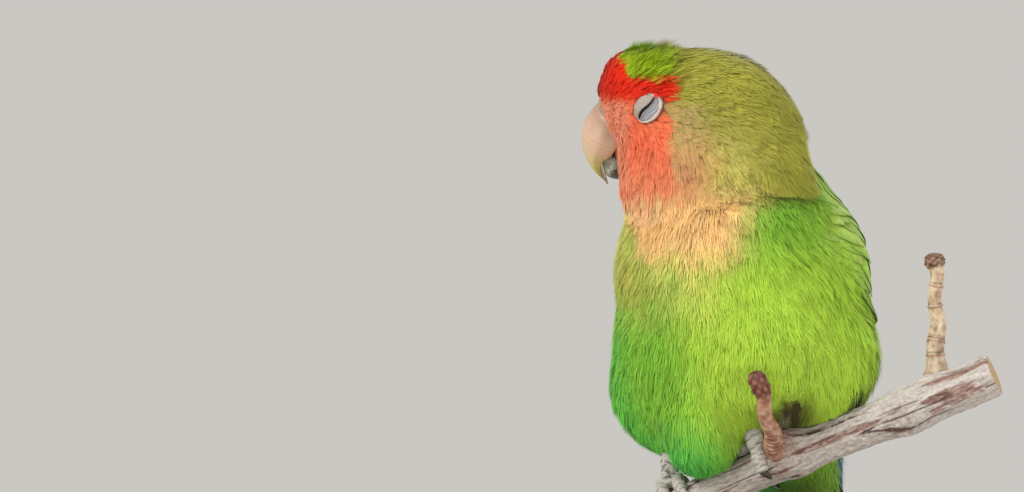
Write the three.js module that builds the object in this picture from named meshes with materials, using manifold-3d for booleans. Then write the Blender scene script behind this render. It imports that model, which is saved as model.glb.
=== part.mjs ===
// A peach-faced lovebird asleep on a cut length of branch, life size, on a plain display stand.
// Millimetres, +Z up. The origin is at the middle of the underside of the stand's base.
// The viewer looks along +Y: the bird's breast faces the viewer's left, its bill points along -X.
import * as THREE from "three";
import { mergeVertices } from "three/addons/utils/BufferGeometryUtils.js";
import Module from "manifold-3d";

// Driving dimensions, in millimetres and degrees
const PERCH_HEIGHT = 44; // middle of the branch above the floor, under the body
const PERCH_SLOPE = 22.5; // the branch rises to the viewer's right
const PERCH_TURN = 10; // and its right end comes towards the viewer
const PERCH_REACH = [-36, 61]; // from the middle to each cut end, along the branch
const PERCH_RADII = [3.8, 4.9]; // at the lower and the upper cut end
const BODY_BACK = 4; // the body sits this far behind the branch's middle
const BODY_TURN = 35; // the breast faces this far to the viewer's left
const HEAD_ROLL = 25; // the crown leans towards the viewer
const TAIL_LEAN = 28; // the tail leans back from upright
const TAIL_LENGTH = 48;
const WING_REACH = 36; // the wing tips lie this far down the tail from its root
const FORM_BLEND = 2.4; // how softly the body's rounded forms run together
const GAP = 0.3; // left between nodes that touch
const VANE_THICKNESS = 0.55;
const BASE_RADII = [46, 37];
const BASE_THICKNESS = 7;
const ROD_RADIUS = 2;
const ROD_PLACES = [-24, -5]; // along the branch from its middle

const wasm = await Module();
wasm.setup();
const { degToRad, lerp, clamp, smoothstep } = THREE.MathUtils;
const vec = (x, y, z) => new THREE.Vector3(x, y, z);

// A place with three directions of its own
class Frame {
  constructor(origin, a, b, c) {
    this.origin = origin;
    this.axes = [a, b, c];
  }
  at(a, b, c) {
    return this.origin.clone().add(this.along(a, b, c));
  }
  along(a, b, c) {
    const [p, q, r] = this.axes;
    return vec(0, 0, 0).addScaledVector(p, a).addScaledVector(q, b).addScaledVector(r, c);
  }
}

const turn = degToRad(BODY_TURN);
const roll = degToRad(HEAD_ROLL);
const lean = degToRad(TAIL_LEAN);
const upright = new Frame(vec(0, BODY_BACK, PERCH_HEIGHT), vec(1, 0, 0), vec(0, 1, 0), vec(0, 0, 1));
// forward, left, up
const body = new Frame(
  upright.at(-3.5, 0, 0),
  vec(-Math.sin(turn), -Math.cos(turn), 0),
  vec(Math.cos(turn), -Math.sin(turn), 0),
  vec(0, 0, 1),
);
// towards the bill, towards the crown, towards the left cheek
const head = new Frame(
  upright.at(-19.3, -5, 85),
  vec(-1, 0, 0),
  vec(0, -Math.sin(roll), Math.cos(roll)),
  vec(0, -Math.cos(roll), -Math.sin(roll)),
);
// down the tail, to the left, out of the tail's upper side
const tail = new Frame(
  body.at(-19, 1, 12),
  body.along(-Math.sin(lean), 0, -Math.cos(lean)),
  body.along(0, 1, 0),
  body.along(-Math.cos(lean), 0, Math.sin(lean)),
);

// The plumage's outer form: rounded masses, each a frame, a centre, three radii and a backward lean
const MASSES = [
  { name: "torso", frame: body, centre: [-2, 0, 37], radii: [23.4, 26.5, 28] },
  { name: "breast", frame: body, centre: [6, -1, 48], radii: [17, 22, 18.5] },
  { name: "back", frame: body, centre: [-11, 2, 47], radii: [14, 24, 19] },
  { name: "left thigh", frame: body, centre: [4, 13, 26.5], radii: [12, 12, 13] },
  { name: "right thigh", frame: body, centre: [3, -14, 19], radii: [13, 12, 14] },
  { name: "left flank", frame: body, centre: [-10, 15.3, 26], radii: [14, 15.4, 17.5] },
  { name: "right flank", frame: body, centre: [-9, -14.5, 25], radii: [14, 14, 17] },
  { name: "belly", frame: body, centre: [9, -1.5, 12], radii: [8.5, 8.5, 13] },
  { name: "rump", frame: body, centre: [-18, 1, 14], radii: [10, 13, 18], lean: 30 },
  { name: "tail coverts", frame: body, centre: [-25, 1, 2], radii: [6, 10, 13], lean: TAIL_LEAN },
  { name: "neck", frame: upright, centre: [-5, -3, 70], radii: [19.5, 16.5, 14] },
  { name: "mantle", frame: upright, centre: [0, 3, 61], radii: [15.5, 13, 10] },
  { name: "throat", frame: upright, centre: [-15, -6, 67], radii: [13, 12, 12] },
  { name: "nape", frame: upright, centre: [-3, -3, 79.2], radii: [14.5, 14.5, 12.8] },
  { name: "hind crown", frame: head, centre: [-8, -0.8, 0], radii: [9.5, 8.6, 10.5] },
  { name: "skull", frame: head, centre: [-2.2, 0.6, 0], radii: [11.8, 11.5, 11.4] },
  { name: "face", frame: head, centre: [3.2, -1.2, 0], radii: [10.1, 11.2, 6.2] },
  { name: "left cheek", frame: head, centre: [-1.6, -8, 5], radii: [7.8, 9, 7.2] },
  { name: "right cheek", frame: head, centre: [-1.6, -8, -5], radii: [7.8, 9, 7.2] },
  { name: "chin", frame: head, centre: [1.2, -13, 0], radii: [8.3, 7.5, 5.2] },
].map((mass) => {
  const [a, b, c] = mass.frame.axes;
  const tip = degToRad(mass.lean ?? 0);
  return {
    centre: mass.frame.at(...mass.centre),
    axes: [
      a.clone().multiplyScalar(Math.cos(tip)).addScaledVector(c, -Math.sin(tip)),
      b,
      c.clone().multiplyScalar(Math.cos(tip)).addScaledVector(a, Math.sin(tip)),
    ],
    radii: mass.radii,
  };
});

// Rough distance to a mass's surface, negative inside it
function depthIn(mass, point) {
  const from = point.clone().sub(mass.centre);
  let near = 0;
  let steep = 0;
  mass.axes.forEach((axis, i) => {
    const share = from.dot(axis) / mass.radii[i];
    near += share * share;
    steep += (share / mass.radii[i]) ** 2;
  });
  return (Math.sqrt(near) * (Math.sqrt(near) - 1)) / (Math.sqrt(steep) + 1e-9);
}

// Distance to the whole plumage: the masses blended by the logarithm of their summed nearness
function plumage(point) {
  const sum = MASSES.reduce(
    (total, mass) => total + Math.exp(-clamp(depthIn(mass, point), -60, 120) / FORM_BLEND),
    1e-30,
  );
  return -FORM_BLEND * Math.log(sum);
}

// The line that the body's cross sections follow, from the tail coverts to the middle of the head
const SPINE = new THREE.CatmullRomCurve3(
  [
    body.at(-26, 1, 0),
    body.at(-17, 1, 14),
    body.at(-8, 1, 30),
    body.at(-4, 0, 46),
    upright.at(-6, -2, 62),
    upright.at(-10, -4, 74),
    upright.at(-12, -5, 83),
  ],
  false,
  "catmullrom",
  0.5,
);
const CAP_LOW = 0.14; // share of the rows that close the form round the tail coverts
const CAP_HIGH = 0.78; // and from here on over the crown

// How far the plumage's surface lies from a point inside it, along a direction
function reachFrom(origin, direction, level) {
  const step = 1.2;
  let reach = step;
  while (plumage(origin.clone().addScaledVector(direction, reach)) < level) reach += step;
  let [low, high] = [reach - step, reach];
  for (let i = 0; i < 14; i++) {
    const middle = (low + high) / 2;
    const inside = plumage(origin.clone().addScaledVector(direction, middle)) < level;
    [low, high] = inside ? [middle, high] : [low, middle];
  }
  return (low + high) / 2;
}

// The ray of the body's grid: rise runs from the tail coverts (0) to the crown (1), around is an angle
// from the left side (0) over the back (90)
function bodyRay(rise, around) {
  const share = clamp((rise - CAP_LOW) / (CAP_HIGH - CAP_LOW), 0, 1);
  const origin = SPINE.getPoint(share);
  const up = SPINE.getTangent(share);
  const left = body.along(0, 1, 0);
  left.addScaledVector(up, -left.dot(up)).normalize();
  const back = up.clone().cross(left);
  const below = rise < CAP_LOW ? (rise / CAP_LOW - 1) * 90 : 0;
  const above = rise > CAP_HIGH ? ((rise - CAP_HIGH) / (1 - CAP_HIGH)) * 90 : 0;
  const tilt = degToRad(below + above);
  const angle = degToRad(around);
  const direction = left
    .multiplyScalar(Math.cos(angle) * Math.cos(tilt))
    .addScaledVector(back, Math.sin(angle) * Math.cos(tilt))
    .addScaledVector(up, Math.sin(tilt));
  return { origin, direction };
}

function bodyPoint(rise, around, level = 0) {
  const { origin, direction } = bodyRay(rise, around);
  return origin.addScaledVector(direction, reachFrom(origin, direction, level));
}

// Solids from three.js geometry, with seams merged and faces turned outwards
function solid(geometry) {
  const bare = geometry.clone();
  for (const name of Object.keys(bare.attributes)) {
    if (name !== "position") bare.deleteAttribute(name);
  }
  const merged = mergeVertices(bare, 1e-4);
  const build = (triVerts) =>
    new wasm.Manifold(
      new wasm.Mesh({ numProp: 3, vertProperties: merged.attributes.position.array, triVerts }),
    );
  const triVerts = new Uint32Array(merged.index.array);
  const made = build(triVerts);
  if (made.volume() > 0) return made;
  for (let i = 0; i < triVerts.length; i += 3) {
    [triVerts[i + 1], triVerts[i + 2]] = [triVerts[i + 2], triVerts[i + 1]];
  }
  return build(triVerts);
}

// A sphere's grid bent into any round closed form: place takes the share around and the share along
function roundForm(columns, rows, place) {
  const geometry = new THREE.SphereGeometry(1, columns, rows);
  const { position, uv } = geometry.attributes;
  for (let i = 0; i < position.count; i++) {
    const along = 1 - uv.getY(i);
    const pole = along < 1e-6 || along > 1 - 1e-6;
    const around = pole ? 0 : Math.round(uv.getX(i) * columns) % columns / columns;
    const point = place(around, along);
    position.setXYZ(i, point.x, point.y, point.z);
  }
  return solid(geometry);
}

// A tapering round limb along a curve; its ends are closed by rounded or flat caps
function limb(curve, radiusAt, columns, rows, capShare = 0.12, flat = false) {
  const side = vec(0.31, -0.87, 0.38).normalize();
  return roundForm(columns, rows, (around, along) => {
    const share = clamp((along - capShare) / (1 - 2 * capShare), 0, 1);
    const cap = Math.min(along, 1 - along, capShare) / capShare;
    const centre = curve.getPoint(share);
    const forward = curve.getTangent(share);
    const across = side.clone().addScaledVector(forward, -side.dot(forward)).normalize();
    const up = forward.clone().cross(across);
    const angle = around * 2 * Math.PI;
    const radius = radiusAt(share, angle);
    const width = flat ? cap : Math.sin((cap * Math.PI) / 2);
    const bulge = flat ? 0 : (1 - Math.cos((cap * Math.PI) / 2) - 1) * radius;
    const outward = along < 0.5 ? bulge : -bulge;
    return centre
      .addScaledVector(across, Math.cos(angle) * radius * width)
      .addScaledVector(up, Math.sin(angle) * radius * width)
      .addScaledVector(forward, cap < 1 ? outward : 0);
  });
}

// A thin closed slab: place takes the share along, -1 to 1 across, and 0 or 1 for its two faces.
// Both faces are split into triangles alike.
function slab(lengths, widths, place) {
  const grid = new THREE.PlaneGeometry(1, 1, widths, lengths);
  const count = grid.attributes.position.count;
  const points = [];
  for (const face of [0, 1]) {
    for (let i = 0; i < count; i++) {
      const { x, y } = vec(grid.attributes.position.getX(i), grid.attributes.position.getY(i), 0);
      points.push(...place(0.5 - y, 2 * x, face).toArray());
    }
  }
  const top = Array.from(grid.index.array);
  const index = [];
  for (let i = 0; i < top.length; i += 3) {
    const [a, b, c] = top.slice(i, i + 3);
    index.push(a + count, b + count, c + count, a, c, b);
  }
  const columns = widths + 1;
  const rim = [];
  for (let i = 0; i < widths; i++) rim.push(i);
  for (let i = 0; i < lengths; i++) rim.push(i * columns + widths);
  for (let i = widths; i > 0; i--) rim.push(lengths * columns + i);
  for (let i = lengths; i > 0; i--) rim.push(i * columns);
  rim.forEach((from, i) => {
    const to = rim[(i + 1) % rim.length];
    index.push(from, to + count, to, from, from + count, to + count);
  });
  const geometry = new THREE.BufferGeometry();
  geometry.setAttribute("position", new THREE.Float32BufferAttribute(points, 3));
  geometry.setIndex(index);
  return solid(geometry);
}

const joined = (pieces) => wasm.Manifold.union(pieces);
const without = (piece, ...cutters) => cutters.reduce((left, cutter) => left.subtract(cutter), piece);

// The largest closed surface of a solid, so that a loose scrap is dropped and a sealed hollow is filled
function largest(piece) {
  const bodies = piece.decompose();
  return bodies.reduce((most, next) => (next.volume() > most.volume() ? next : most));
}

// The half of space beyond a plane, as a large block
function beyond(point, normal) {
  const size = 260;
  const block = new THREE.BoxGeometry(size, size, size).toNonIndexed();
  const spin = new THREE.Quaternion().setFromUnitVectors(vec(0, 0, 1), normal.clone().normalize());
  const centre = point.clone().addScaledVector(normal.clone().normalize(), size / 2);
  block.applyMatrix4(new THREE.Matrix4().compose(centre, spin, vec(1, 1, 1)));
  return solid(block);
}

// Cuts a solid in two along a plane, with the gap between
function parted(piece, point, normal) {
  const unit = normal.clone().normalize();
  const over = piece.intersect(beyond(point.clone().addScaledVector(unit, GAP / 2), unit));
  const under = piece.intersect(
    beyond(point.clone().addScaledVector(unit, -GAP / 2), unit.clone().negate()),
  );
  return [over, under];
}

function ellipsoid(frame, centre, radii, columns = 24, rows = 16) {
  return roundForm(columns, rows, (around, along) => {
    const angle = around * 2 * Math.PI;
    const fall = along * Math.PI;
    return frame.at(
      centre[0] + radii[0] * Math.sin(fall) * Math.cos(angle),
      centre[1] + radii[1] * Math.sin(fall) * Math.sin(angle),
      centre[2] + radii[2] * Math.cos(fall),
    );
  });
}

// The branch, with a twig in front of the belly and one that ends in a bud cluster
const perchTurn = degToRad(PERCH_TURN);
const perchSlope = degToRad(PERCH_SLOPE);
const perchAlong = vec(
  Math.cos(perchSlope) * Math.cos(perchTurn),
  -Math.cos(perchSlope) * Math.sin(perchTurn),
  Math.sin(perchSlope),
);
const perchFront = vec(-Math.sin(perchTurn), -Math.cos(perchTurn), 0);
const perchUp = perchFront.clone().cross(perchAlong);
const perch = new Frame(vec(0, 0, PERCH_HEIGHT), perchAlong, perchFront, perchUp);
const PERCH_BEND = 0.5; // how far the branch strays from a straight line
const KNOTS = [{ along: 12.5, rise: 0.9, length: 4 }, { along: 40, rise: 0.9, length: 5 }];
const perchStray = (along) => PERCH_BEND * Math.sin(along / 13);
const perchRadius = (along) => {
  const share = (along - PERCH_REACH[0]) / (PERCH_REACH[1] - PERCH_REACH[0]);
  const knots = KNOTS.reduce(
    (sum, knot) => sum + knot.rise * Math.exp(-(((along - knot.along) / knot.length) ** 2)),
    0,
  );
  return lerp(PERCH_RADII[0], PERCH_RADII[1], share) + knots;
};
// each twig's foot, bend and tip, to the viewer's right, away from the viewer and up from the branch
const branchPlace = (x, y, z) => vec(x, y, PERCH_HEIGHT + z);
const TWIG_FRONT = [branchPlace(7.8, -1, 3.5), branchPlace(5.4, -17, 8), branchPlace(2.6, -23.5, 23)];
const TWIG_SIDE = [perch.at(46, 1, 2), branchPlace(42.6, -7, 36), branchPlace(41.8, -8, 50.5)];
const TWIG_FRONT_RADII = [2.5, 1.7]; // at its foot and near its tip
const TWIG_SIDE_RADII = [2.4, 1.7];
const TWIG_TIP_RADII = [2.2, 2.6];

function twig(points, radii, tipRadius, grow) {
  const curve = new THREE.QuadraticBezierCurve3(...points);
  const radiusAt = (share) => {
    const stem = lerp(radii[0], radii[1], Math.min(1, share * 1.6));
    return lerp(stem, tipRadius, smoothstep(share, 0.82, 0.93)) + grow;
  };
  return limb(curve, radiusAt, 8, 9);
}

function perchSolid(grow = 0) {
  const [low, high] = PERCH_REACH;
  const curve = new THREE.CatmullRomCurve3(
    Array.from({ length: 12 }, (_, i) => {
      const along = lerp(low - grow, high + grow, i / 11);
      return perch.at(along, perchStray(along), 0.6 * perchStray(along + 9));
    }),
  );
  const ridge = (share, angle) =>
    perchRadius(lerp(low, high, share)) * (1 + 0.05 * Math.sin(3 * angle + 6 * share)) + grow;
  return joined([
    limb(curve, ridge, 12, 18, 0.045, true),
    twig(TWIG_FRONT, TWIG_FRONT_RADII, TWIG_TIP_RADII[0], grow),
    twig(TWIG_SIDE, TWIG_SIDE_RADII, TWIG_TIP_RADII[1], grow),
  ]);
}

// The wings: each lies over the body from the shoulder down past the rump to the tail.
// down runs from the shoulder (0) to the wing tip (1), across from the leading edge (0) to the back (1).
const WING_LEAVES_BODY = 0.72;
const WING_RISE = [0.6, 0.2]; // where the wing lies on the body's grid, at the shoulder and on leaving
const WING_LEAD = [-14, 34]; // the leading edge's angle on the grid, at the shoulder and below
const WING_TRAIL = [44, 76]; // the trailing edge's
const WING_TIP_SPREAD = [7.2, -0.5]; // the edges' distances from the tail's middle line at the wing tip
const WING_TIP_RISE = [3.4, 5.4];
function wingAngle(down, across) {
  const lead = lerp(WING_LEAD[0], WING_LEAD[1], smoothstep(down, 0, 0.7));
  const trail = lerp(WING_TRAIL[0], WING_TRAIL[1], smoothstep(down, 0, 0.4));
  return lerp(lead, trail, across);
}

function wingRest(side, down, across) {
  const rise = lerp(WING_RISE[0], WING_RISE[1], down / WING_LEAVES_BODY);
  const angle = wingAngle(down, across);
  const { origin, direction } = bodyRay(rise, side > 0 ? angle : 180 - angle);
  const reach = reachFrom(origin, direction, 0);
  return { point: origin.addScaledVector(direction, reach), out: direction };
}

const wingCache = new Map();
function wingLeaving(side, across) {
  const key = side + ":" + across.toFixed(3);
  if (!wingCache.has(key)) {
    const here = wingRest(side, WING_LEAVES_BODY, across);
    const before = wingRest(side, WING_LEAVES_BODY - 0.02, across);
    const pace = here.point.clone().sub(before.point).divideScalar(0.02);
    wingCache.set(key, { ...here, pace });
  }
  return wingCache.get(key);
}

// A point over or under the wing's resting surface
function wingPoint(side, down, across, height) {
  if (down <= WING_LEAVES_BODY) {
    const rest = wingRest(side, down, across);
    return rest.point.addScaledVector(rest.out, height);
  }
  const from = wingLeaving(side, across);
  const span = 1 - WING_LEAVES_BODY;
  const share = (down - WING_LEAVES_BODY) / span;
  const aside = side * lerp(WING_TIP_SPREAD[0], WING_TIP_SPREAD[1], across);
  const to = tail.at(WING_REACH, aside, lerp(WING_TIP_RISE[0], WING_TIP_RISE[1], across));
  const out = from.out
    .clone()
    .lerp(tail.along(0, 0.45 * side, 0.9), smoothstep(share, 0, 1))
    .normalize();
  const [s2, s3] = [share ** 2, share ** 3];
  return vec(0, 0, 0)
    .addScaledVector(from.point, 2 * s3 - 3 * s2 + 1)
    .addScaledVector(from.pace, span * (s3 - 2 * s2 + share))
    .addScaledVector(to, 3 * s2 - 2 * s3)
    .addScaledVector(tail.axes[0], 18 * (s3 - s2))
    .addScaledVector(out, height);
}

// Outline of a feather's vane: its half width at each share of the length
function vaneOutline(share) {
  if (share < 0.7) return lerp(0.5, 1, Math.sin((share / 0.7) * (Math.PI / 2)));
  return Math.sqrt(1 - ((share - 0.7) / 0.318) ** 2);
}

// Tiers of the folded wing, from the flight feathers to the shoulder's coverts. Each feather runs from
// "from" to somewhere between the two "to" values down the wing, is centred between the two "across"
// values, and rises from its root's height to its free part's, over the resting surface.
const WING_TIERS = [
  { count: 5, from: 0.44, to: [1, 0.84], across: [0.13, 0.68], wide: 0.8, height: [-0.4, -0.3], rows: 4 },
  { count: 6, from: 0.36, to: [0.74, 0.66], across: [0.26, 0.9], wide: 0.72, height: [-0.3, 0.35], rows: 4 },
  { count: 6, from: 0.2, to: [0.5, 0.47], across: [0.12, 0.88], wide: 0.7, height: [-0.3, 1.2], rows: 3 },
  { count: 5, from: 0.07, to: [0.31, 0.29], across: [0.16, 0.84], wide: 0.7, height: [-0.3, 1.15], rows: 3 },
];
const WING_BED = [-1.5, 0.2]; // under and upper side of the wing's body, from the resting surface
const WING_BED_ROWS = 7;
const WING_ROW = 0.08; // each row's share of the way down
const SHINGLE_STEP = 0.88; // each feather lies this much over its neighbour
const POCKET_ROWS = 11;
const POCKET_MARGIN = 0.04;
const POCKET_SLACK = 0.2; // for the coarser grid's flat faces

function wingVane(side, tier, i) {
  const share = i / (tier.count - 1);
  const tip = lerp(tier.to[0], tier.to[1], share);
  const middle = lerp(tier.across[0], tier.across[1], share);
  const spacing = (tier.across[1] - tier.across[0]) / (tier.count - 1);
  return slab(tier.rows, 1, (along, t, face) => {
    const risen = smoothstep(along, 0, 0.45);
    const tilted = smoothstep(along, 0, 0.26);
    const aside = t * tier.wide * vaneOutline(along);
    const height = lerp(tier.height[0], tier.height[1], risen) - SHINGLE_STEP * aside * tilted;
    const thick = face * VANE_THICKNESS * (1 - 0.2 * along);
    return wingPoint(side, lerp(tier.from, tip, along), middle + aside * spacing, height + thick);
  });
}

const wingEdge = (row) => Math.min(1, Math.sqrt(row * 0.75 + 0.14));

function wingBed(side) {
  return slab(WING_BED_ROWS, 4, (along, t, face) => {
    const row = along * WING_BED_ROWS;
    const rounding = 1 - 0.75 * Math.abs(t) ** 3;
    const height = face ? lerp(WING_BED[0] + 0.6, WING_BED[1], rounding) : WING_BED[0];
    return wingPoint(side, row * WING_ROW, 0.5 + 0.5 * t * wingEdge(row), height);
  });
}

function wing(side) {
  const vanes = WING_TIERS.flatMap((tier) =>
    Array.from({ length: tier.count }, (_, i) => wingVane(side, tier, i)),
  );
  return largest(joined([wingBed(side), ...vanes]));
}

// All that lies over the wing's resting surface, taken out of the body under it
function wingPocket(side) {
  return slab(POCKET_ROWS, 4, (along, t, face) => {
    const row = along * POCKET_ROWS;
    const edge = 0.5 * wingEdge(row) + POCKET_MARGIN;
    const deep = WING_BED[0] - GAP - POCKET_SLACK - 1.3 * smoothstep(row, WING_BED_ROWS - 0.5, WING_BED_ROWS + 1);
    const down = row > 0 ? row * WING_ROW : -0.012;
    return wingPoint(side, down, 0.5 + t * edge, face ? 9 : deep);
  });
}

// The tail: twelve feathers in a shallow roof, the middle pair uppermost
const TAIL_PAIRS = 6;
const TAIL_HALF_WIDTH = 2.6;
const TAIL_SPACING = 1.35; // from one feather to the next, at mid length
const TAIL_ROOT = { centre: [8, 0, -0.6], radii: [11, 7.5, 2.7] };
function tailVane(side, i) {
  const length = TAIL_LENGTH - 1.6 * i;
  return slab(4, 1, (along, t, face) => {
    const forth = lerp(3, length, along);
    const offset = (i + 0.5) * TAIL_SPACING * (0.55 + 0.6 * along);
    const aside = t * TAIL_HALF_WIDTH * vaneOutline(along);
    const free = smoothstep(along, 0.1, 0.45);
    const under = SHINGLE_STEP * (i + (side < 0 ? 0.5 : 0)) * 0.55 * free;
    const slope = (0.42 * aside) / TAIL_SPACING + 0.3 * (i + 0.5);
    return tail.at(forth, side * (offset + aside), 1 - under - 0.3 * slope + face * VANE_THICKNESS);
  });
}

function tailSolid() {
  const vanes = [1, -1].flatMap((side) =>
    Array.from({ length: TAIL_PAIRS }, (_, i) => tailVane(side, i)),
  );
  const root = ellipsoid(tail, TAIL_ROOT.centre, TAIL_ROOT.radii, 12, 8);
  return largest(joined([root, ...vanes]));
}

// The room the tail takes up in the plumage over it
function tailRoom() {
  const grown = TAIL_ROOT.radii.map((radius) => radius + GAP);
  const slot = slab(3, 1, (along, t, face) => {
    const forth = lerp(10, 60, along);
    return tail.at(forth, t * lerp(8.5, 11, along), face ? 2.1 : -3.4);
  });
  return joined([ellipsoid(tail, TAIL_ROOT.centre, grown, 12, 8), slot]);
}

// The head's features, in its own frame: forward to the bill, up to the crown, left to the cheek
const CULMEN_CENTRE = [6.3, -9.6];
const CULMEN_RADIUS = 11.2;
const CULMEN_ARC = [52, -60]; // degrees, from the cere to just before the tip
const BILL_TIP = [11.4, -20.9];
const BILL_HALF_WIDTH = 5.4;
const TOMIUM = new THREE.SplineCurve(
  [[5.5, -3.5], [7.6, -6.5], [9.2, -9.2], [10.9, -12], [12.7, -13.6], [13.2, -15.6], [12.6, -18.4], [11.6, -20.8]].map(
    ([x, y]) => new THREE.Vector2(x, y),
  ),
);

function culmenAt(share) {
  const bent = Math.min(share / 0.9, 1);
  const angle = degToRad(lerp(CULMEN_ARC[0], CULMEN_ARC[1], bent));
  const point = new THREE.Vector2(
    CULMEN_CENTRE[0] + CULMEN_RADIUS * Math.cos(angle),
    CULMEN_CENTRE[1] + CULMEN_RADIUS * Math.sin(angle),
  );
  return point.lerp(new THREE.Vector2(...BILL_TIP), smoothstep(share, 0.86, 1));
}

function billUpper(grow = 0) {
  return roundForm(14, 13, (around, along) => {
    const outer = culmenAt(along);
    const inner = TOMIUM.getPoint(along);
    const middle = outer.clone().add(inner).multiplyScalar(0.5);
    const half = outer.clone().sub(inner).multiplyScalar(0.5);
    const length = half.length() + 1e-6;
    const grown = half.multiplyScalar((length + grow) / length);
    const angle = around * 2 * Math.PI;
    const cap = Math.min(1, Math.sin(Math.min(along, 0.09) / 0.09 * Math.PI / 2));
    const taper = Math.cos((Math.max(0, along - 0.3) / 0.7) * (Math.PI / 2)) ** 0.8;
    const wide = (BILL_HALF_WIDTH * (0.12 + 0.88 * taper) + grow) * (cap * 0.6 + 0.4);
    const rise = Math.cos(angle);
    const belly = Math.sin(angle) * (1 - 0.22 * Math.max(0, rise));
    const onPole = along < 1e-6 || along > 1 - 1e-6;
    const share = onPole ? 0 : 1;
    return head.at(
      middle.x + grown.x * rise * share,
      middle.y + grown.y * rise * share,
      wide * belly * share,
    );
  });
}

// The lower mandible: a small scoop behind the upper one's cutting edge
function billLower(grow = 0) {
  const scoop = ellipsoid(head, [9.3, -14.9, 0], [3.5 + grow, 4.5 + grow, 3.9 + grow], 12, 8);
  return scoop;
}

// The cere: a soft saddle over the bill's root, with a nostril on each side
const CERE = { centre: [11.6, -1.8], radii: [3.0, 3.3, 4.9] };
const NOSTRIL = { place: [12.8, 0.1, 2.9], radii: [0.8, 0.75, 1.3] };
function cereBody(grow = 0) {
  const radii = CERE.radii.map((radius) => radius + grow);
  return ellipsoid(head, [...CERE.centre, 0], radii, 12, 10);
}

function cere() {
  const nostril = (side) => {
    const [forth, rise, aside] = NOSTRIL.place;
    return ellipsoid(head, [forth, rise, side * aside], NOSTRIL.radii, 8, 6);
  };
  return largest(without(cereBody(), billUpper(GAP), nostril(1), nostril(-1)));
}

// The closed eyes: two lids over the eyeball, parted by a slanting slit
const EYE_PLACE = [3, 3.4];
const EYE_SINK = 4.4; // the eyeball's centre under the plumage
const EYE_RADII = { ball: 4.25, lidIn: 4.6, lidOut: 5.4, socket: 5.72 };
const SLIT_TURN = 54.7; // degrees from the line of the bill, rising backwards
const SLIT_HALF = 0.2;

function eye(side) {
  const out = head.along(0, 0, side);
  const deep = reachFrom(head.at(...EYE_PLACE, 0), out, 0);
  const centre = [...EYE_PLACE, side * (deep - EYE_SINK)];
  const ball = (radius, columns = 14, rows = 8) =>
    ellipsoid(head, centre, [radius, radius, radius], columns, rows);
  const slit = degToRad(SLIT_TURN);
  const upward = head.along(Math.sin(slit), Math.cos(slit), 0);
  const middle = head.at(...centre);
  const front = beyond(head.at(centre[0], centre[1], centre[2] + side * 0.6), out);
  const shell = ball(EYE_RADII.lidOut).subtract(ball(EYE_RADII.lidIn)).intersect(front);
  const upper = shell.intersect(beyond(middle.clone().addScaledVector(upward, SLIT_HALF), upward));
  const lower = shell.intersect(
    beyond(middle.clone().addScaledVector(upward, -SLIT_HALF), upward.clone().negate()),
  );
  return {
    ball: ball(EYE_RADII.ball),
    upper: largest(upper),
    lower: largest(lower),
    socket: ball(EYE_RADII.socket),
  };
}

// The feet: two toes over the front of the branch and two behind, each ending in a claw
const FEET = { left: 1.2, right: -16.2 }; // along the branch
const TOES = [
  { name: "inner_front", back: 1, spread: -1, radius: 1.45, sweep: [18, 112], claw: 34 },
  { name: "outer_front", back: 1, spread: 1, radius: 1.55, sweep: [18, 128], claw: 34 },
  { name: "outer_rear", back: -1, spread: 1, radius: 1.5, sweep: [18, 120], claw: 34 },
  { name: "inner_rear", back: -1, spread: -1, radius: 1.4, sweep: [18, 92], claw: 30 },
];
const TOE_SPREAD = 1.75;
const TARSUS_RADIUS = 2;
const TARSUS_SHOWN = 6.5; // the rest of the leg lies in the plumage

// A point round the branch: angle 0 is on top, positive turns over the front
function roundPerch(along, angle, height) {
  const radius = perchRadius(along) + height;
  const turned = degToRad(angle);
  return perch.at(
    along,
    perchStray(along) + radius * Math.sin(turned),
    0.6 * perchStray(along + 9) + radius * Math.cos(turned),
  );
}

function toeCurve(place, toe, fromAngle, toAngle, outer, droop = 0) {
  const points = Array.from({ length: 7 }, (_, i) => {
    const share = i / 6;
    const along = place + outer * toe.spread * (TOE_SPREAD + 0.9 * share);
    const height = GAP + toe.radius * (1 - droop * share);
    return roundPerch(along, toe.back * lerp(fromAngle, toAngle, share), height);
  });
  return new THREE.CatmullRomCurve3(points);
}

function foot(place, outer, grow = 0) {
  const toes = TOES.map((toe) => {
    const knuckle = (share) =>
      toe.radius * (1 - 0.22 * share) * (1 + 0.07 * Math.cos(share * 18)) + grow;
    return limb(toeCurve(place, toe, toe.sweep[0] - 14, toe.sweep[1], outer), knuckle, 6, 8);
  });
  const pad = ellipsoid(
    new Frame(roundPerch(place, 0, 0), ...perch.axes),
    [0, 0, GAP + 1.7],
    [3.1 + grow, 3.4 + grow, 1.9 + grow],
    8,
    6,
  );
  const low = roundPerch(place, -6, GAP + 2.2);
  const shank = new THREE.LineCurve3(low, low.clone().add(body.along(0.6, 0, TARSUS_SHOWN)));
  return joined([pad, limb(shank, () => TARSUS_RADIUS + grow, 7, 5, 0.1), ...toes]);
}

function claw(place, toe, outer, grow = 0) {
  const start = toe.sweep[1] + 11;
  const curve = toeCurve(place, { ...toe, spread: toe.spread * 1.45, radius: 0.9 }, start, start + toe.claw, outer, -0.4);
  return limb(curve, (share) => 0.82 * (1 - 0.72 * share) + grow, 6, 6, 0.1);
}

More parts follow.
